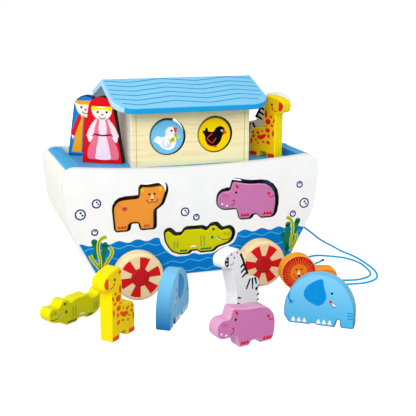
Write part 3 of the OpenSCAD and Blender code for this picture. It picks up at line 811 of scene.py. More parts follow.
def draw_zebra(s):
    s.blob("black", [
        (-13.4, 60), (-13.5, 64.4), (-13.4, 68.8), (-17, 69.3), (-19.7, 64.4), (-17, 59.5),
    ])
    s.dot("white", -16.6, 66.8, 1.2, 0.68, level=2)
    s.dot("white", -16.6, 62.6, 1.5, 0.62, level=2)
    s.dot("black", -4.3, 66.6, 1.25, 0.7)
    for x in (-9.2, 0.3):
        s.patch("mauve", [(x - 1.9, 70), (x + 1.9, 70), (x + 0.4, 73.6)], 0.4)
    s.line("umber", [(-10.8, 60.2), (-7.5, 60), (-5, 62.2)], 0.7)
    s.line("black", [(5.6, 68.6), (10, 61), (14, 52), (18.6, 43.5)], 3)
    for a, b, wide, end in (
        ((12, 56.3), (6.2, 53.5), 3, 0.7), ((14, 51), (7, 47.5), 3, 0.7),
        ((16.5, 45.3), (9, 42), 3, 0.7), ((23, 36.7), (16.5, 26.5), 3, 0.8),
        ((26.8, 36.7), (27.6, 24), 3.1, 0.6), ((31.5, 36.3), (34, 28), 3.4, 0.6),
        ((39.6, 26), (35, 23.3), 1.5, 0.8), ((2.8, 20.8), (8.5, 19), 2.8, 0.25),
        ((1.9, 14.8), (6.2, 13.3), 2.4, 0.25), ((39.2, 15.8), (34.6, 15), 2.8, 0.35),
        ((39.2, 9.4), (34.8, 9.2), 2.2, 0.35),
    ):
        s.line("black", [a, ((a[0] + b[0]) / 2, (a[1] + b[1]) / 2), b], wide, end=end)
    s.dot("black", 34.2, 22.6, 2)


def draw_elephant(s):
    s.blob("ear_blue", [
        (32, 50.4), (34.6, 49), (36, 42), (38, 35), (38.3, 30), (36, 25), (33, 22.5), (29.5, 21.5),
        (25, 23), (20, 25.5), (16.5, 29), (15.2, 33), (16.5, 38), (20, 43), (26, 47.5),
    ])
    s.dot("black", 44, 36.2, 1.25)
    s.dot("red", 43, 27.2, 1.55)
    s.blob("white", [(44.8, 25.4), (47, 24.3), (48.4, 22.4), (46.4, 22.2), (44.6, 23.6)])
    s.line("umber", [(43.4, 25.2), (44.6, 23.2), (46.4, 22), (48.6, 22)], 0.7, 2)
    s.line("ear_blue", [(0.9, 31.8), (-0.1, 28.4), (0.4, 25.6), (1.8, 23.9)], 1.5)
    for tip in ((5.2, 23.6), (1.2, 20.5), (4.2, 21.2)):
        s.line("ear_blue", [
            (1.6, 24.4), ((1.6 + tip[0]) / 2, (24.2 + tip[1]) / 2), tip,
        ], 1.6, end=0.6)
    for y in (16.8, 13.8, 10.8):
        s.line("ear_blue", [(60.4, y), (63, y + 0.2), (66.2, y)], 1.15)
    for x in (5.3, 11.2, 16.9, 31.5, 37.2, 43):
        s.blob("white", [
            (x - 2.1, 2.6), (x, 2.1), (x + 2.1, 2.6), (x + 1.2, 5.4), (x, 7.1), (x - 1.2, 5.4),
        ])


def draw_lion(s):
    s.ring("crimson", 0, 29.3, 18.8, 8.8)
    rays = 34
    for k in range(rays):
        a = 2 * math.pi * k / rays
        c, d = math.cos(a), math.sin(a)
        near, far = 9.8 + 0.7 * (k % 2), 17.0 + 0.9 * (k % 3 == 0)
        s.line("ray", [(r * c, 29.3 + r * d) for r in (near, (near + far) / 2, far)], 1, 2, 0.6)
    for x in (-2.9, 2.8):
        s.dot("umber", x, 33, 1.05)
    s.patch("white", [(-0.2, 32.4), (1.7, 27), (-2.1, 27)], 0.4)
    s.dot("black", 0, 26.1, 1.45, 0.75, level=2)
    s.line("umber", [(-4.8, 24.6), (-3, 23), (-0.1, 24.9)], 0.75)
    s.line("umber", [(0.1, 24.9), (3, 23), (4.8, 24.6)], 0.75)
    for x in (-5.3, 5.2):
        s.dot("red", x, 27, 0.95)
    draw_toes(s, "crimson", -4.6, 4.2, 1.6, 4.6)
    draw_toes(s, "crimson", 30, 39.4, 1.6, 4.6)
    s.line("crimson", [(42.6, 22), (39.4, 20.4), (38.4, 16.4), (40.2, 13.4)], 1.1)
    s.dot("crimson", 40.2, 12.6, 1.9, 0.75, 60, 2)


def mirrored(points, middle):
    """Points and their mirror images, as one closed outline."""
    return list(points) + [(2 * middle - x, y) for x, y in reversed(points)]


def draw_wife(s):
    middle, face = 25.4, 25.2
    sleeve = [
        (19.5, 50.6), (15.5, 48.4), (10.5, 41.5), (6.8, 33), (7.2, 30.4), (9.5, 30.2), (14.6, 33.6),
        (16.4, 41),
    ]
    hand = [(8, 31), (8.4, 26.4), (10, 24.4), (12.4, 27), (13.6, 31.5)]
    s.blob("pink", mirrored([
        (17, 33.4), (11.6, 24.8), (8, 17), (6.8, 10), (8.4, 5.2), (16, 4.6),
    ], middle))
    s.blob("blush", mirrored([(22, 32.8), (18.8, 22), (17, 12), (17.4, 5)], middle), 2)
    s.patch("pink", [(16.4, 51), (34.8, 51), (35.8, 33.4), (15.4, 33.4)], 1)
    s.patch("blush", [
        (22.6, 51), (28.6, 51), (30.4, 42), (30, 33.4), (21.2, 33.4), (20.8, 42),
    ], 0.6, 2)
    for side in (1, -1):
        s.blob("blush", [(middle + side * (x - middle), y) for x, y in sleeve], 3)
        s.blob("white", [(middle + side * (x - middle), y) for x, y in hand], 2)
    s.line("black", [(15.4, 33.6), (20.2, 32.6), (25.5, 32.2), (30.8, 32.6), (35.8, 33.8)], 1.5, 4)
    s.blob("skin", mirrored([
        (14.6, 64.6), (13.6, 60.6), (14.6, 56.2), (18, 52.2), (22.6, 50.6),
    ], face), 2)
    s.blob("hair", mirrored([
        (22, 64.2), (14.2, 65.4), (14, 60.8), (17.6, 60.4), (21.6, 61.6),
    ], face), 3)
    draw_doll(s, 25.6, 58.7)


def draw_patriarch(s):
    face = 23.8
    s.patch("gold", [(16.6, 50), (24.4, 50), (20.6, 4.2), (4.8, 4.2), (9, 20)], 0.6)
    s.patch("red", [(21.4, 50), (34.4, 50), (42.6, 4.2), (17.6, 4.2)], 0.6, 2)
    s.line("dusk", [(21.4, 48), (19.2, 25), (17.4, 4.2)], 1.3, 3)
    s.patch("red", [
        (17.4, 50.4), (14.2, 48.4), (4.6, 27.4), (5, 25.4), (8.8, 23.4), (10.8, 28), (18.2, 45.6),
    ], 0.8, 4)
    s.blob("white", [(5.4, 25.6), (5.8, 22), (7.4, 20), (8.8, 23), (8.6, 24.4)], 3)
    s.blob("skin", mirrored([
        (12.4, 63.4), (12, 59), (13.2, 54.4), (16.2, 50), (20.4, 46.8),
    ], face), 3)
    s.blob("gold", mirrored([(12.2, 65.6), (12.6, 62.8), (18, 61.4)], face), 4)
    draw_doll(s, face, 58)


def draw_dove(s):
    s.blob("white", [
        (-2.8, 1.4), (-2.2, 6.4), (0.4, 10.8), (5, 11.8), (8.8, 8.6), (8.4, 3.4), (10.2, -4.6),
        (7.8, -11.6), (2, -14.6), (-5.6, -12), (-11.6, -6.4), (-16.2, -3.6), (-11.8, 2),
        (-7.4, 0.4),
    ])
    s.dot("black", 4.9, 7.2, 1.25, level=2)
    s.patch("flame", [
        (7.2, 11), (12.4, 10), (10.2, 7.8), (11.8, 6.8), (9.4, 4.4), (7.6, 7),
    ], 0.3, 2)
    for x, y, a in (
        (9.6, 2, -50), (11.8, 0.2, 20), (5.8, -2, 25), (7.8, -4.4, -40), (4.8, -4.6, 80),
    ):
        s.dot("sprig", x, y, 2.4, 0.62, a, 2)
    s.line("sprig", [(9.6, 4), (8.6, 0.4), (6.8, -3)], 1, 2)
    s.line("sky", [(-4.8, -2.4), (-5, -8), (-1.8, -11.2), (0.8, -10.4), (0.2, -6.4)], 0.95, 2)
    s.line("sky", [(1.4, -2.2), (3.8, -6), (2.4, -10.4), (0.8, -10.8)], 0.95, 2)


def draw_raven(s):
    s.blob("black", [
        (-1.7, 3.8), (1.6, 8), (6.6, 9.8), (11.4, 7.6), (12, 3.4), (9.2, -1.8), (7.4, -6.8),
        (3.8, -11.3), (-1.7, -12.9), (-7.7, -10.3), (-11, -5.8), (-11.8, -0.8), (-14.6, 5),
        (-11.7, 5.6), (-10.9, 8.2), (-8.6, 8), (-7.6, 4.6),
    ])
    s.dot("pewter", 8.6, 4.6, 1.45, level=2)
    s.patch("flame", [(10.8, 6), (15.2, 2.4), (9.8, -0.8)], 0.5, 2)
    s.line("flame", [
        (-2.7, 1.7), (-7.2, -1.3), (-8.7, -3.8), (-5.7, -7.3), (-2.7, -9), (0.3, -5.8), (1.8, -3.4),
    ], 0.9, 2)
    s.line("flame", [(-9.4, -9.4), (-5.8, -12), (-2, -13.2)], 0.9, 2)
    s.patch("flame", [(-2.6, -12.4), (2.4, -12), (2.8, -14.8), (0, -14.4)], 0.4, 2)


CAMERA_TURN = (-19.286, 14.603, 0.391)  # degrees around the ark, above it and of lean
CAMERA_AT = (-291.0, -941.5, 333.3)  # millimetres from the ark's middle
CAMERA_LENS, CAMERA_SENSOR, CAMERA_NEAR = 72.69, 36, 0.01
LIGHT_AIM = (0, -0.06, 0.11)
LIGHTS = (  # name, place in metres from the ark's middle, watts, size
    ("Key light", (-0.8, -1.4, 1.35), 26.0, 1.2),
    ("Side light", (-1.5, -0.5, 0.4), 7.0, 1.0),
    ("Fill light", (1.2, -1.2, 0.45), 6.0, 1.2),
    ("Back light", (0.1, 1.3, 1.4), 3.0, 1.2),
)
FLOOR_HALF, FLOOR_GLOW, FLOOR_RELIEF = 4.0, 0.95, 0.001
PAPER_DARK, PAPER_PALE, ROOM = 0.48, 0.52, 0.45


def grey(value):
    return (value, value, value, 1)


def set_camera(scene):
    """A camera that stands and leans as the photograph's did."""
    around, above, lean = (math.radians(a) for a in CAMERA_TURN)
    flat = math.cos(above)
    back = Vector((math.sin(around) * flat, -math.cos(around) * flat, math.sin(above)))
    right = (-back).cross(Vector((0, 0, 1))).normalized()
    up = back.cross(right)
    turned = Matrix((
        right * math.cos(lean) + up * math.sin(lean),
        up * math.cos(lean) - right * math.sin(lean),
        back,
    )).transposed()
    lens = bpy.data.cameras.new("Camera")
    lens.lens, lens.sensor_width, lens.clip_start = CAMERA_LENS, CAMERA_SENSOR, CAMERA_NEAR
    scene.camera = put("Camera", lens)
    place = Matrix.Translation(ARK + Vector(CAMERA_AT) * MM)
    scene.camera.matrix_world = place @ turned.to_4x4()


def hang_lights():
    aim = ARK + Vector(LIGHT_AIM)
    for name, at, power, size in LIGHTS:
        glow = bpy.data.lights.new(name, "AREA")
        glow.energy, glow.size = power, size
        lamp = put(name, glow)
        lamp.location = ARK + Vector(at)
        lamp.rotation_euler = (aim - lamp.location).to_track_quat("-Z", "Y").to_euler()


def lay_floor():
    """Pale paper that glows only for the camera, and for rays off or through a glossy piece."""
    shape = bmesh.new()
    bmesh.ops.create_grid(shape, x_segments=2, y_segments=2, size=FLOOR_HALF)
    mesh = bpy.data.meshes.new("Floor")
    shape.to_mesh(mesh)
    shape.free()
    recipe = Recipe("floor_paper", 0.0)
    seen = recipe.node("ShaderNodeLightPath", out="Is Camera Ray")
    for other in ("Is Glossy Ray", "Is Transmission Ray"):
        seen = seen + recipe.node("ShaderNodeLightPath", out=other)
    recipe.feed(recipe.shader.inputs["Emission Color"], recipe.mix(seen, grey(0), grey(1)))
    recipe.shader.inputs["Emission Strength"].default_value = FLOOR_GLOW
    fleck = recipe.noise(recipe.place(), 30.0)
    paper = recipe.mix(fleck, grey(PAPER_DARK), grey(PAPER_PALE))
    mesh.materials.append(recipe.finish(paper, 0.9, fleck, 0.02, FLOOR_RELIEF))
    floor = put("Floor", mesh)


def light_room(scene):
    """An even light from all round, which the camera itself sees as white."""
    world = bpy.data.worlds.new("Studio")
    scene.world = world
    world.use_nodes = True
    room = Mixer(world.node_tree)
    seen = room.node("ShaderNodeLightPath", out="Is Camera Ray")
    room.feed(room.tree.nodes["Background"].inputs["Color"], room.mix(seen, grey(ROOM), grey(1)))


class ARK_OT_stage(bpy.types.Operator):
    """Set the camera, the soft studio lights and the pale floor"""

    bl_idname = "ark.stage"
    bl_label = "Stage"

    def execute(self, context):
        context.scene.view_settings.view_transform = "Standard"
        set_camera(context.scene)
        hang_lights()
        lay_floor()
        light_room(context.scene)
        return {"FINISHED"}


# The cord's route in millimetres from the ark's middle: out of the bow, then along the floor
CORD_RISE = (
    (125, 0, 63), (139, 0, 63), (148, 0, 57), (156, 0, 49), (164, 0, 42), (173, 0, 35),
    (182, 0, 28), (192, 1, 20), (201, 2, 14), (209, 3, 9.5), (216, 1, 5.5), (221, -4, 2.6),
)
CORD_FLOOR = (
    (225, -12), (228, -26), (229, -44), (228, -64), (226, -82), (220, -101), (211, -114),
    (199, -121), (188, -123), (177, -122), (166, -120), (154, -114), (145, -104), (140, -90),
    (139, -74), (142, -56), (149, -38), (160, -22), (172, -13), (185, -11), (198, -18), (212, -29),
    (219, -42), (222, -58), (220, -76), (215, -94), (208, -103), (196, -109), (184, -110),
    (169, -106), (158, -98), (153, -84), (153, -66), (159, -50), (168, -40), (176, -35), (184, -30),
)
CORD_STEPS = 5
TIP_POINTS, TIP_SWELL = 4, 0.1
KNOT_STEPS = 60


def trefoil(t):
    """A point of a knot that is six across."""
    return Vector((
        math.sin(3 * t) * -1.1,
        math.sin(t) + 2 * math.sin(2 * t),
        math.cos(t) - 2 * math.cos(2 * t),
    ))


class ARK_OT_cord(bpy.types.Operator):
    """Braid the pull cord along its route, with its dark tip and the knot inside the bow"""

    bl_idname = "ark.cord"
    bl_label = "Pull cord"

    def execute(self, context):
        radius = sizes().cord_width / 2
        low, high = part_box("cord_knot")
        knot = (low + high) / 2
        route = [knot] + [ARK + Vector(p) * MM for p in CORD_RISE]
        route += [ARK + Vector((x, y, radius / MM)) * MM for x, y in CORD_FLOOR]
        path = flowing(route, CORD_STEPS)
        for p in path:
            p.z = max(p.z, radius)
        shape, reach = tube(path, radius)
        cord = piece("pull_cord_braid", "hull", shape, [paint("cord_blue")])
        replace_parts(cord, "pull_cord")
        end = [p + Vector((0, 0, radius * TIP_SWELL)) for p in path[-TIP_POINTS:]]
        shape, _ = tube(end, radius * (1 + TIP_SWELL))
        tip = piece("pull_cord_tip", "hull", shape, [paint("tip_navy")])
        span = (high.x - low.x) / 2 - radius
        turns = [2 * math.pi * k / KNOT_STEPS for k in range(KNOT_STEPS - 1)]
        shape, _ = tube([knot + trefoil(t) * span / 3 for t in turns], radius)
        tied = piece("pull_cord_knot", "hull", shape, [paint("cord_blue")])
        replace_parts(tied, "cord_knot")
        return {"FINISHED"}


BOARDS = (  # node, finishes and slot
    ("side_panel_front", ("hull_white", "burnt_edge"), "hull_white"),
    ("side_panel_rear", ("hull_white", "burnt_edge"), "hull_white"),
    ("stern_board", ("crest_paint", "crest_deep"), "hull_white"),
    ("bow_board", ("crest_paint", "crest_deep"), "hull_white"),
    ("stern_plug", ("trim_blue",), "trim_blue"),
    ("bow_plug", ("trim_blue",), "trim_blue"),
    ("floor_board", ("hold_wood",), "bare_wood"),
    ("deck_board", ("deck_blue",), "deck_blue"),
    ("deck_cleat_stern", ("bare_wood",), "bare_wood"),
    ("deck_cleat_bow", ("bare_wood",), "bare_wood"),
)
HOLES_IN, HOLES_UP = 0.042, 0.013  # metres of the side panels' box that no hole reaches
END_ON = 0.7  # how far an end board's inner side is turned along the hull, as a cosine


class ARK_OT_hull(bpy.types.Operator):
    """Round and paint the boards of the hull and its deck"""

    bl_idname = "ark.hull"
    bl_label = "Hull and deck"

    def execute(self, context):
        holes = Cutout("side_panel_front", HOLES_IN, HOLES_UP)

        # The inner sides of the end boards take the crest blue darkened as painted shade
        def inner(face):
            out = face.calc_center_median().x - ARK.x
            return abs(face.normal.x) > END_ON and out * face.normal.x < 0

        for node, finishes, slot in BOARDS:
            pick = keep = None
            if "burnt_edge" in finishes:
                pick, keep = holes.wall, holes.edge
            elif "crest_deep" in finishes:
                pick = inner
            dressed(node, "hull", finishes, sizes().board_round, pick, keep)
        return {"FINISHED"}


def draw_bubble(s, x, z, r):
    s.ring("bubble", x, z, r + 0.3, 1.6)
    s.dot("bubble", x + r * 0.06, z + r * 0.3, max(0.95, r * 0.22))
    if r > 4:
        s.dot("bubble", x + r * 0.4, z - r * 0.16, r * 0.2)


def draw_weed(s, clubs, ribbons):
    """Dark clubs from their heads down, and pale ribbons with a dark vein."""
    for head, points, end in clubs:
        s.dot("weed", *points[0], head, level=3)
        s.line("weed", points, head * 2, 3, end)
    for points in ribbons:
        s.line("ribbon", points, 4.5, 4, 0.85)
        s.line("weed", points, 0.9, 5)


# The hull's stem, which the print ends short of, in millimetres
STEM_FOOT, STEM_UP, STEM_RAKE, STEM_MARGIN = 112, 17.5, 0.515, 0.9
WAVE_LONG, WAVE_STEP, WAVE_HIGH = 21.3, 1.9, 1.55
FOAM_HIGH, FOAM_WIDE, FOAM_SHORT = 1.45, 0.95, 1.6
SEA_FOOT, AXLE_UP, BORE = 18.3, 27.5, 5.2
BORE_STEPS = 20


def stem_at(z):
    """How far from the middle the print reaches at a height."""
    return STEM_FOOT + STEM_RAKE * (z - STEM_UP) - STEM_MARGIN


def wave_row(level, lift, start, stop, peak):
    """A row of waves between two places along the hull, with a crest at the given peak."""
    count = max(2, round(abs(stop - start) / WAVE_STEP))
    steps = [start + (stop - start) * k / count for k in range(count + 1)]
    return [(x, level + lift * math.cos(2 * math.pi * (x - peak) / WAVE_LONG)) for x in steps]


def draw_foam(s, z, peak, *gap):
    """A pale line along the sea, broken by the gap if there is one."""
    out = stem_at(z) - FOAM_SHORT
    ends = (-out, *gap, out)
    for start, stop in zip(ends[::2], ends[1::2]):
        s.line("foam", wave_row(z, FOAM_HIGH, start, stop, peak), FOAM_WIDE, 2, steps=1)


def draw_sea(s, crest):
    """The sea between its crest and the hull's foot, cut out round the axles."""
    low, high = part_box("wheel_bow_front")
    axle = abs(low.x + high.x - 2 * ARK.x) / 2 / MM
    turns = [2 * math.pi * k / BORE_STEPS for k in range(BORE_STEPS)]
    bores = [
        [(BORE * math.cos(t) + side * axle, AXLE_UP + BORE * math.sin(t)) for t in turns]
        for side in (-1, 1)
    ]
    foot = stem_at(SEA_FOOT)
    s.sheet("sea", crest + [(foot, SEA_FOOT), (-foot, SEA_FOOT)], bores)


SEA_FRONT, SEA_REAR = 62.7, 47.6  # heights of the sea's crest
CROC_STERN, CROC_BOW = -44.4, 49.6  # ends of the crest beside the crocodile's hole
CROC_MARGIN = [  # the white margin below that hole
    (-44.2, 62.6), (-43.4, 59.4), (-41.5, 55), (-38.2, 49.8), (-34, 45.3), (-30, 42.3), (-26, 40.3),
    (-22, 39.6), (-14, 39.5), (-10.2, 40.1), (-6.6, 41.7), (-2.4, 41.7), (1.4, 40.1), (5, 39.5),
    (18, 39.5), (22, 40.6), (25.4, 42.8), (32, 45.4), (40, 47.4), (44.4, 50), (47.2, 54.4),
    (48.6, 58.6), (49.2, 61.6),
]
# Height and peak of each pale line, and its gap where a hole breaks it
FRONT_FOAM = (
    (56.8, 5.7, -44.4, 50.2), (44.7, 4.6, -36.2, 41), (33.4, 13.1), (22.6, 1),
)
REAR_FOAM = ((41.2, 15), (31.4, 5), (22.6, 17))
# Along, up and radius
FRONT_BUBBLES = (
    (-132.5, 97.4, 5.9), (-114.6, 108.3, 5), (-117.4, 76.3, 3.7), (-14.3, 91.3, 4.9), (-1, 84, 3.7),
    (126.2, 113.1, 3.8), (132.9, 90.3, 5.9), (118.7, 78.3, 3.8),
)
REAR_BUBBLES = (
    (-130, 92, 5.6), (-119, 106, 4.4), (128, 100, 5.4), (117, 88, 3.7), (50, 118, 4.6),
    (43, 108, 3.7), (-14, 124, 4),
)
FRONT_WEEDS = (  # clubs with their head, line and taper, then ribbons
    (
        [
            (3.4, [(-118.3, 65.5), (-116.4, 59), (-117, 53), (-119.2, 46.5)], 0.35),
            (3.2, [(-106.4, 61.2), (-107.3, 54), (-108.6, 46), (-110, 33)], 0.45),
        ],
        [
            [(-104.6, 70.2), (-109, 69.2), (-112.6, 65.6), (-114.1, 60), (-113.8, 53), (-112.2, 44),
             (-112, 34)],
            [(-123, 51), (-121.2, 46), (-118, 41), (-114.4, 36.6), (-112.2, 32)],
            [(-101.6, 58), (-98.8, 54), (-99.6, 49), (-102.6, 44), (-106, 39), (-108, 33)],
        ],
    ),
    (
        [
            (3.2, [(113, 65.8), (112.5, 58), (114.2, 49), (114.6, 43), (112.6, 36), (111, 29)],
             0.6),
            (3.3, [(125.4, 69.4), (122.6, 63), (121.4, 56), (120.4, 49), (118.4, 40)], 0.45),
            (2.7, [(106.6, 54.4), (108.2, 48), (110.8, 41), (111.6, 34)], 0.8),
        ],
        [
            [(110.8, 75), (115, 72.6), (118, 68.2), (119.3, 62), (118.9, 55), (117.4, 47),
             (117.2, 38)],
            [(123.6, 54), (124.6, 48.6), (122.6, 43), (119.6, 38), (117.6, 32)],
        ],
    ),
)
REAR_WEEDS = (
    (
        [(3.2, [(-117.4, 60), (-115.6, 51), (-114.4, 42), (-113, 30)], 0.5)],
        [[(-122.8, 52), (-121.2, 45), (-116.8, 37.4), (-111.8, 30)]],
    ),
    (
        [(3.2, [(117, 62), (115.4, 52), (113.2, 42), (112, 30)], 0.5)],
        [[(122.9, 55), (124.2, 47), (120.2, 38.4), (113.6, 30)]],
    ),
)


class ARK_OT_sea(bpy.types.Operator):
    """Print the sea, its weed and the bubbles on both sides of the hull"""

    bl_idname = "ark.sea"
    bl_label = "Printed sea"

    def execute(self, context):
        front = wave_row(SEA_FRONT, WAVE_HIGH, -stem_at(63.8), CROC_STERN, peak=-91) + CROC_MARGIN
        front += wave_row(SEA_FRONT, WAVE_HIGH, CROC_BOW, stem_at(61.8), peak=58.1)
        rear = wave_row(SEA_REAR, WAVE_HIGH, -stem_at(48), stem_at(SEA_REAR), peak=4)
        face = middle_of("side_panel_front")[1].y
        for side, crest, foams, bubbles, weeds, place in (
            ("front", front, FRONT_FOAM, FRONT_BUBBLES, FRONT_WEEDS, (0, face, 0)),
            ("rear", rear, REAR_FOAM, REAR_BUBBLES, REAR_WEEDS, (0, -face, 0, 180)),
        ):
            s = Stencil()
            draw_sea(s, crest)
            for foam in foams:
                draw_foam(s, *foam)
            for bubble in bubbles:
                draw_bubble(s, *bubble)
            for weed in weeds:
                draw_weed(s, *weed)
            s.lay("hull_%s_print" % side, "hull", stand(*place) @ UPRIGHT)
        return {"FINISHED"}


WINDOWS_IN = 0.006  # metres of the cabin wall's box that no window reaches
WALL_END = 0.069  # metres from the middle, past which a long wall's end grain lies
SEAM_IN, SEAM_SHORT, SEAM_WIDE = 6.0, 1, 0.7


class ARK_OT_cabin(bpy.types.Operator):
    """Round and varnish the cabin walls and score their corners"""

    bl_idname = "ark.cabin"
    bl_label = "Cabin"

    def execute(self, context):
        windows = Cutout("cabin_wall_front", WINDOWS_IN, WINDOWS_IN)

        def grain(face):
            """Windows have burnt edges darkened further as painted shade, and the ends of a long
            wall are paler as painted light.
            """
            ends = abs(face.calc_center_median().x - ARK.x) > WALL_END
            return windows.wall(face) or 2 * ends

        soften = sizes().wall_round
        for side in ("front", "rear"):
            dressed("cabin_wall_" + side, "hull", ("cabin_wood", "burnt_edge", "end_wood"), soften,
                    grain, windows.edge)
        for side in ("stern", "bow"):
            dressed("cabin_wall_" + side, "hull", ("end_wood",), soften)
        middle, low, high = middle_of("cabin_wall_front")
        s = Stencil()
        for x in (low.x + SEAM_IN, high.x - SEAM_IN):
            s.line("seam", [
                (x, low.z + SEAM_SHORT), (x, middle.z), (x, high.z - SEAM_SHORT),
            ], SEAM_WIDE)
        front, rear = stand(0, low.y, 0), stand(0, -low.y, 0, 180)
        s.lay("cabin_seams", "hull", front @ UPRIGHT, rear @ UPRIGHT)
        return {"FINISHED"}


ROOF_PITCH, ROOF_THICK = math.radians(19.5), 7.0
# Past these normals a sloping edge takes the painted highlight, more widely at the stern
RAKE_STERN, RAKE_BOW = -0.5, 0.95  # normals past which a face is a sloping edge
EAVE_UP, EAVE_OUT = 0.8, 0.4  # normals of the eaves: below the first and past the second
RIDGE = 0.0006  # metres from the middle within which an edge belongs to the ridge
ROW_FIRST, ROW_PITCH = -3.8, -11.2
ROW_ENDS = ((-88, 87.5),) * 4 + ((-87.5, 85.5), (-80.5, 78))
WAVE_CORNERS = ((-61, -4.1), (-21.3, 4.1), (18.4, -4.1), (58.1, 4.1))
CORNER_ROUND = ((-5, 0.76), (0, 0.95), (5, 0.76))
LINE_START, LINE_FALL, LINE_WIDE = 1.6, 0.207, 2


def roof_row(middle, start, stop):
    """One wavy line along the roof."""
    points = [(start, middle + LINE_START)]
    for corner, swing in WAVE_CORNERS:
        points += [(corner + shift, middle + swing * share) for shift, share in CORNER_ROUND]
    last, swing = WAVE_CORNERS[-1]
    return points + [(stop, middle + swing - (stop - last) * LINE_FALL)]


class ARK_OT_roof(bpy.types.Operator):
    """Round and paint the roof and print its wavy lines"""

    bl_idname = "ark.roof"
    bl_label = "Roof"

    def execute(self, context):
        def side(face):
            """Sloping edges take a paler blue as painted highlight, mostly at the stern; the eaves
            and round corners take a deeper blue paint.
            """
            x, y, z = face.normal
            if x < RAKE_STERN or x > RAKE_BOW:
                return 2
            return abs(z) < EAVE_UP and abs(y) + abs(x) > EAVE_OUT

        def ridge(edge):
            return max(abs(v.co.y - ARK.y) for v in edge.verts) < RIDGE

        for half in ("front", "rear"):
            dressed("roof_panel_" + half, "roof", ("roof_blue", "eave_blue", "rake_blue"),
                    sizes().roof_round, side, ridge)
        for node in ("gable_stern", "gable_bow"):
            dressed(node, "roof", ("gable_blue",), sizes().wall_round)
        dressed("ridge_batten", "roof", ("bare_wood",), 0.0)
        s = Stencil()
        for k, ends in enumerate(ROW_ENDS):
            s.line("wave", roof_row(ROW_FIRST + ROW_PITCH * k, *ends), LINE_WIDE, steps=1)
        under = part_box("roof_panel_front")[1].z / MM - ROOF_THICK / math.cos(ROOF_PITCH)
        slope = Matrix.Rotation(ROOF_PITCH, 4, "X") @ Matrix.Translation((0, 0, ROOF_THICK))
        s.lay("roof_lines", "roof", stand(0, 0, under) @ slope, stand(0, 0, under, 180) @ slope)
        return {"FINISHED"}


SPOKES = 6
SPOKE = ((0.30, -0.10), (0.81, -0.22), (0.84, 0.0), (0.81, 0.22), (0.30, 0.10))  # of the radius
HUB_OUT, HUB_BAND = 0.375, 0.12  # of the radius


class ARK_OT_wheels(bpy.types.Operator):
    """Varnish the wheels and print their spokes"""

    bl_idname = "ark.wheels"
    bl_label = "Wheels"

    def execute(self, context):
        for end, lean in (("stern", 15), ("bow", -1)):
            body = "wheelset_" + end
            dressed("axle_" + end, body, ("bare_wood",), 0.0)
            for side, about in (("front", 0), ("rear", 180)):
                node = "wheel_%s_%s" % (end, side)
                for name, finish in ((node, "wheel_wood"), ("hub_%s_%s" % (end, side), "hub_red")):
                    dressed(name, body, (finish,), 0.0)
                middle, low, high = middle_of(node)
                radius = (high.z - low.z) / 2
                s = Stencil()
                s.ring("hub", 0, 0, radius * HUB_OUT, radius * HUB_BAND, 2)
                for k in range(SPOKES):
                    turn = Matrix.Rotation(math.radians(lean + 360 / SPOKES * k), 2)
                    s.patch("red", [turn @ Vector(p) * radius for p in SPOKE], 0.4)
                face = stand(middle.x, high.y if about else low.y, middle.z, about)
                s.lay(node + "_print", body, face @ UPRIGHT)
        return {"FINISHED"}


class ARK_OT_discs(bpy.types.Operator):
    """Paint the two window discs and print their birds"""

    bl_idname = "ark.discs"
    bl_label = "Window discs"

    def execute(self, context):
        for node, finish, draw in (
            ("dove_disc", "dove_blue", draw_dove), ("raven_disc", "raven_yellow", draw_raven),
        ):
            dressed(node, node, (finish,), 0.0)
            middle, low, _ = middle_of(node)
            s = Stencil()
            draw(s)
            s.lay(node + "_print", node, stand(middle.x, low.y, middle.z) @ UPRIGHT)
        return {"FINISHED"}


class ARK_OT_people(bpy.types.Operator):
    """Paint the patriarch and the wife in their robes"""

    bl_idname = "ark.people"
    bl_label = "People"

    def execute(self, context):
        # The edges of both people take dark paints that stand for painted shade
        figure("patriarch", "patriarch_navy", "patriarch_blue", draw_patriarch, thick=PERSON_THICK)
        figure("wife", "wife_maroon", "wife_red", draw_wife, thick=PERSON_THICK)
        return {"FINISHED"}


class ARK_OT_lions(bpy.types.Operator):
    """Paint the lion and the lioness"""

    bl_idname = "ark.lions"
    bl_label = "Lions"

    def execute(self, context):
        figure("lioness", "lioness_orange", "lioness_orange", draw_lioness)
        figure("lion", "lion_gold", "lion_orange", draw_lion)
        return {"FINISHED"}


class ARK_OT_hippos(bpy.types.Operator):
    """Paint the two hippos"""

    bl_idname = "ark.hippos"
    bl_label = "Hippos"

    def execute(self, context):
        for node in ("hippo_a", "hippo_b"):
            figure(node, "hippo_pink", "hippo_mauve", draw_hippo)
        return {"FINISHED"}


class ARK_OT_crocs(bpy.types.Operator):
    """Paint the two crocodiles"""

    bl_idname = "ark.crocs"
    bl_label = "Crocodiles"

    def execute(self, context):
        for node in ("croc_a", "croc_b"):
            figure(node, "croc_yellow", "croc_green", draw_croc)
        return {"FINISHED"}


class ARK_OT_giraffes(bpy.types.Operator):
    """Paint the two giraffes"""

    bl_idname = "ark.giraffes"
    bl_label = "Giraffes"

    def execute(self, context):
        for node, side, spot in (
            # The deck's giraffe takes a darker gold and deeper red spots as painted shade; the
            # floor's giraffe takes the lit gold and orange spots
            ("giraffe_a", "giraffe_amber", "red"),
            ("giraffe_b", "giraffe_gold", "orange"),
        ):
            figure(node, "giraffe_yellow", side, lambda s: draw_giraffe(s, spot))
        return {"FINISHED"}


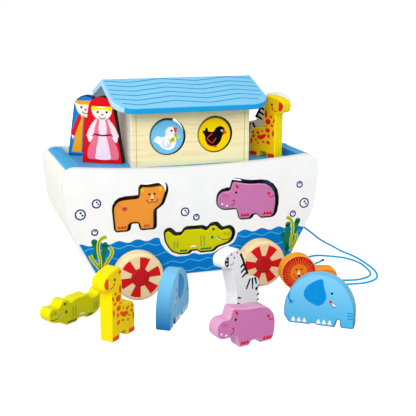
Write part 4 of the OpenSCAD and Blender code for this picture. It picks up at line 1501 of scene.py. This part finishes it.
class ARK_OT_zebras(bpy.types.Operator):
    """Paint the two zebras"""

    bl_idname = "ark.zebras"
    bl_label = "Zebras"

    def execute(self, context):
        for node in ("zebra_a", "zebra_b"):
            figure(node, "zebra_white", "zebra_white", draw_zebra)
        return {"FINISHED"}


class ARK_OT_elephants(bpy.types.Operator):
    """Paint the two elephants"""

    bl_idname = "ark.elephants"
    bl_label = "Elephants"

    def execute(self, context):
        for node in ("elephant_a", "elephant_b"):
            figure(node, "elephant_edge", "elephant_blue", draw_elephant)
        return {"FINISHED"}


STEPS = (
    ARK_OT_stage, ARK_OT_cord, ARK_OT_hull, ARK_OT_sea, ARK_OT_cabin, ARK_OT_roof, ARK_OT_wheels,
    ARK_OT_discs, ARK_OT_people, ARK_OT_lions, ARK_OT_hippos, ARK_OT_crocs, ARK_OT_giraffes,
    ARK_OT_zebras, ARK_OT_elephants,
)


class ARK_PT_panel(bpy.types.Panel):
    """Sizes, colours and making steps of the toy ark"""

    bl_idname = "ARK_PT_panel"
    bl_label = "Toy ark"
    bl_space_type = "VIEW_3D"
    bl_region_type = "UI"
    bl_category = "Toy ark"

    def draw(self, context):
        for group in (context.scene.ark_sizes, context.scene.ark_paints, context.scene.ark_inks):
            box = self.layout.box()
            for key in group.__annotations__:
                box.prop(group, key)
        for step in STEPS:
            self.layout.operator(step.bl_idname)


GROUPS = (("ark_sizes", ArkSizes), ("ark_paints", ArkPaints), ("ark_inks", ArkInks))


def register():
    for name, group in GROUPS:
        bpy.utils.register_class(group)
        setattr(bpy.types.Scene, name, PointerProperty(type=group))
    for part in STEPS + (ARK_PT_panel,):
        bpy.utils.register_class(part)


def unregister():
    for part in reversed(STEPS + (ARK_PT_panel,)):
        bpy.utils.unregister_class(part)
    for name, group in reversed(GROUPS):
        delattr(bpy.types.Scene, name)
        bpy.utils.unregister_class(group)


def main():
    register()
    for step in STEPS:
        family, name = step.bl_idname.split(".")
        getattr(getattr(bpy.ops, family), name)()
    bpy.context.view_layer.update()


if __name__ == "__main__":
    main()
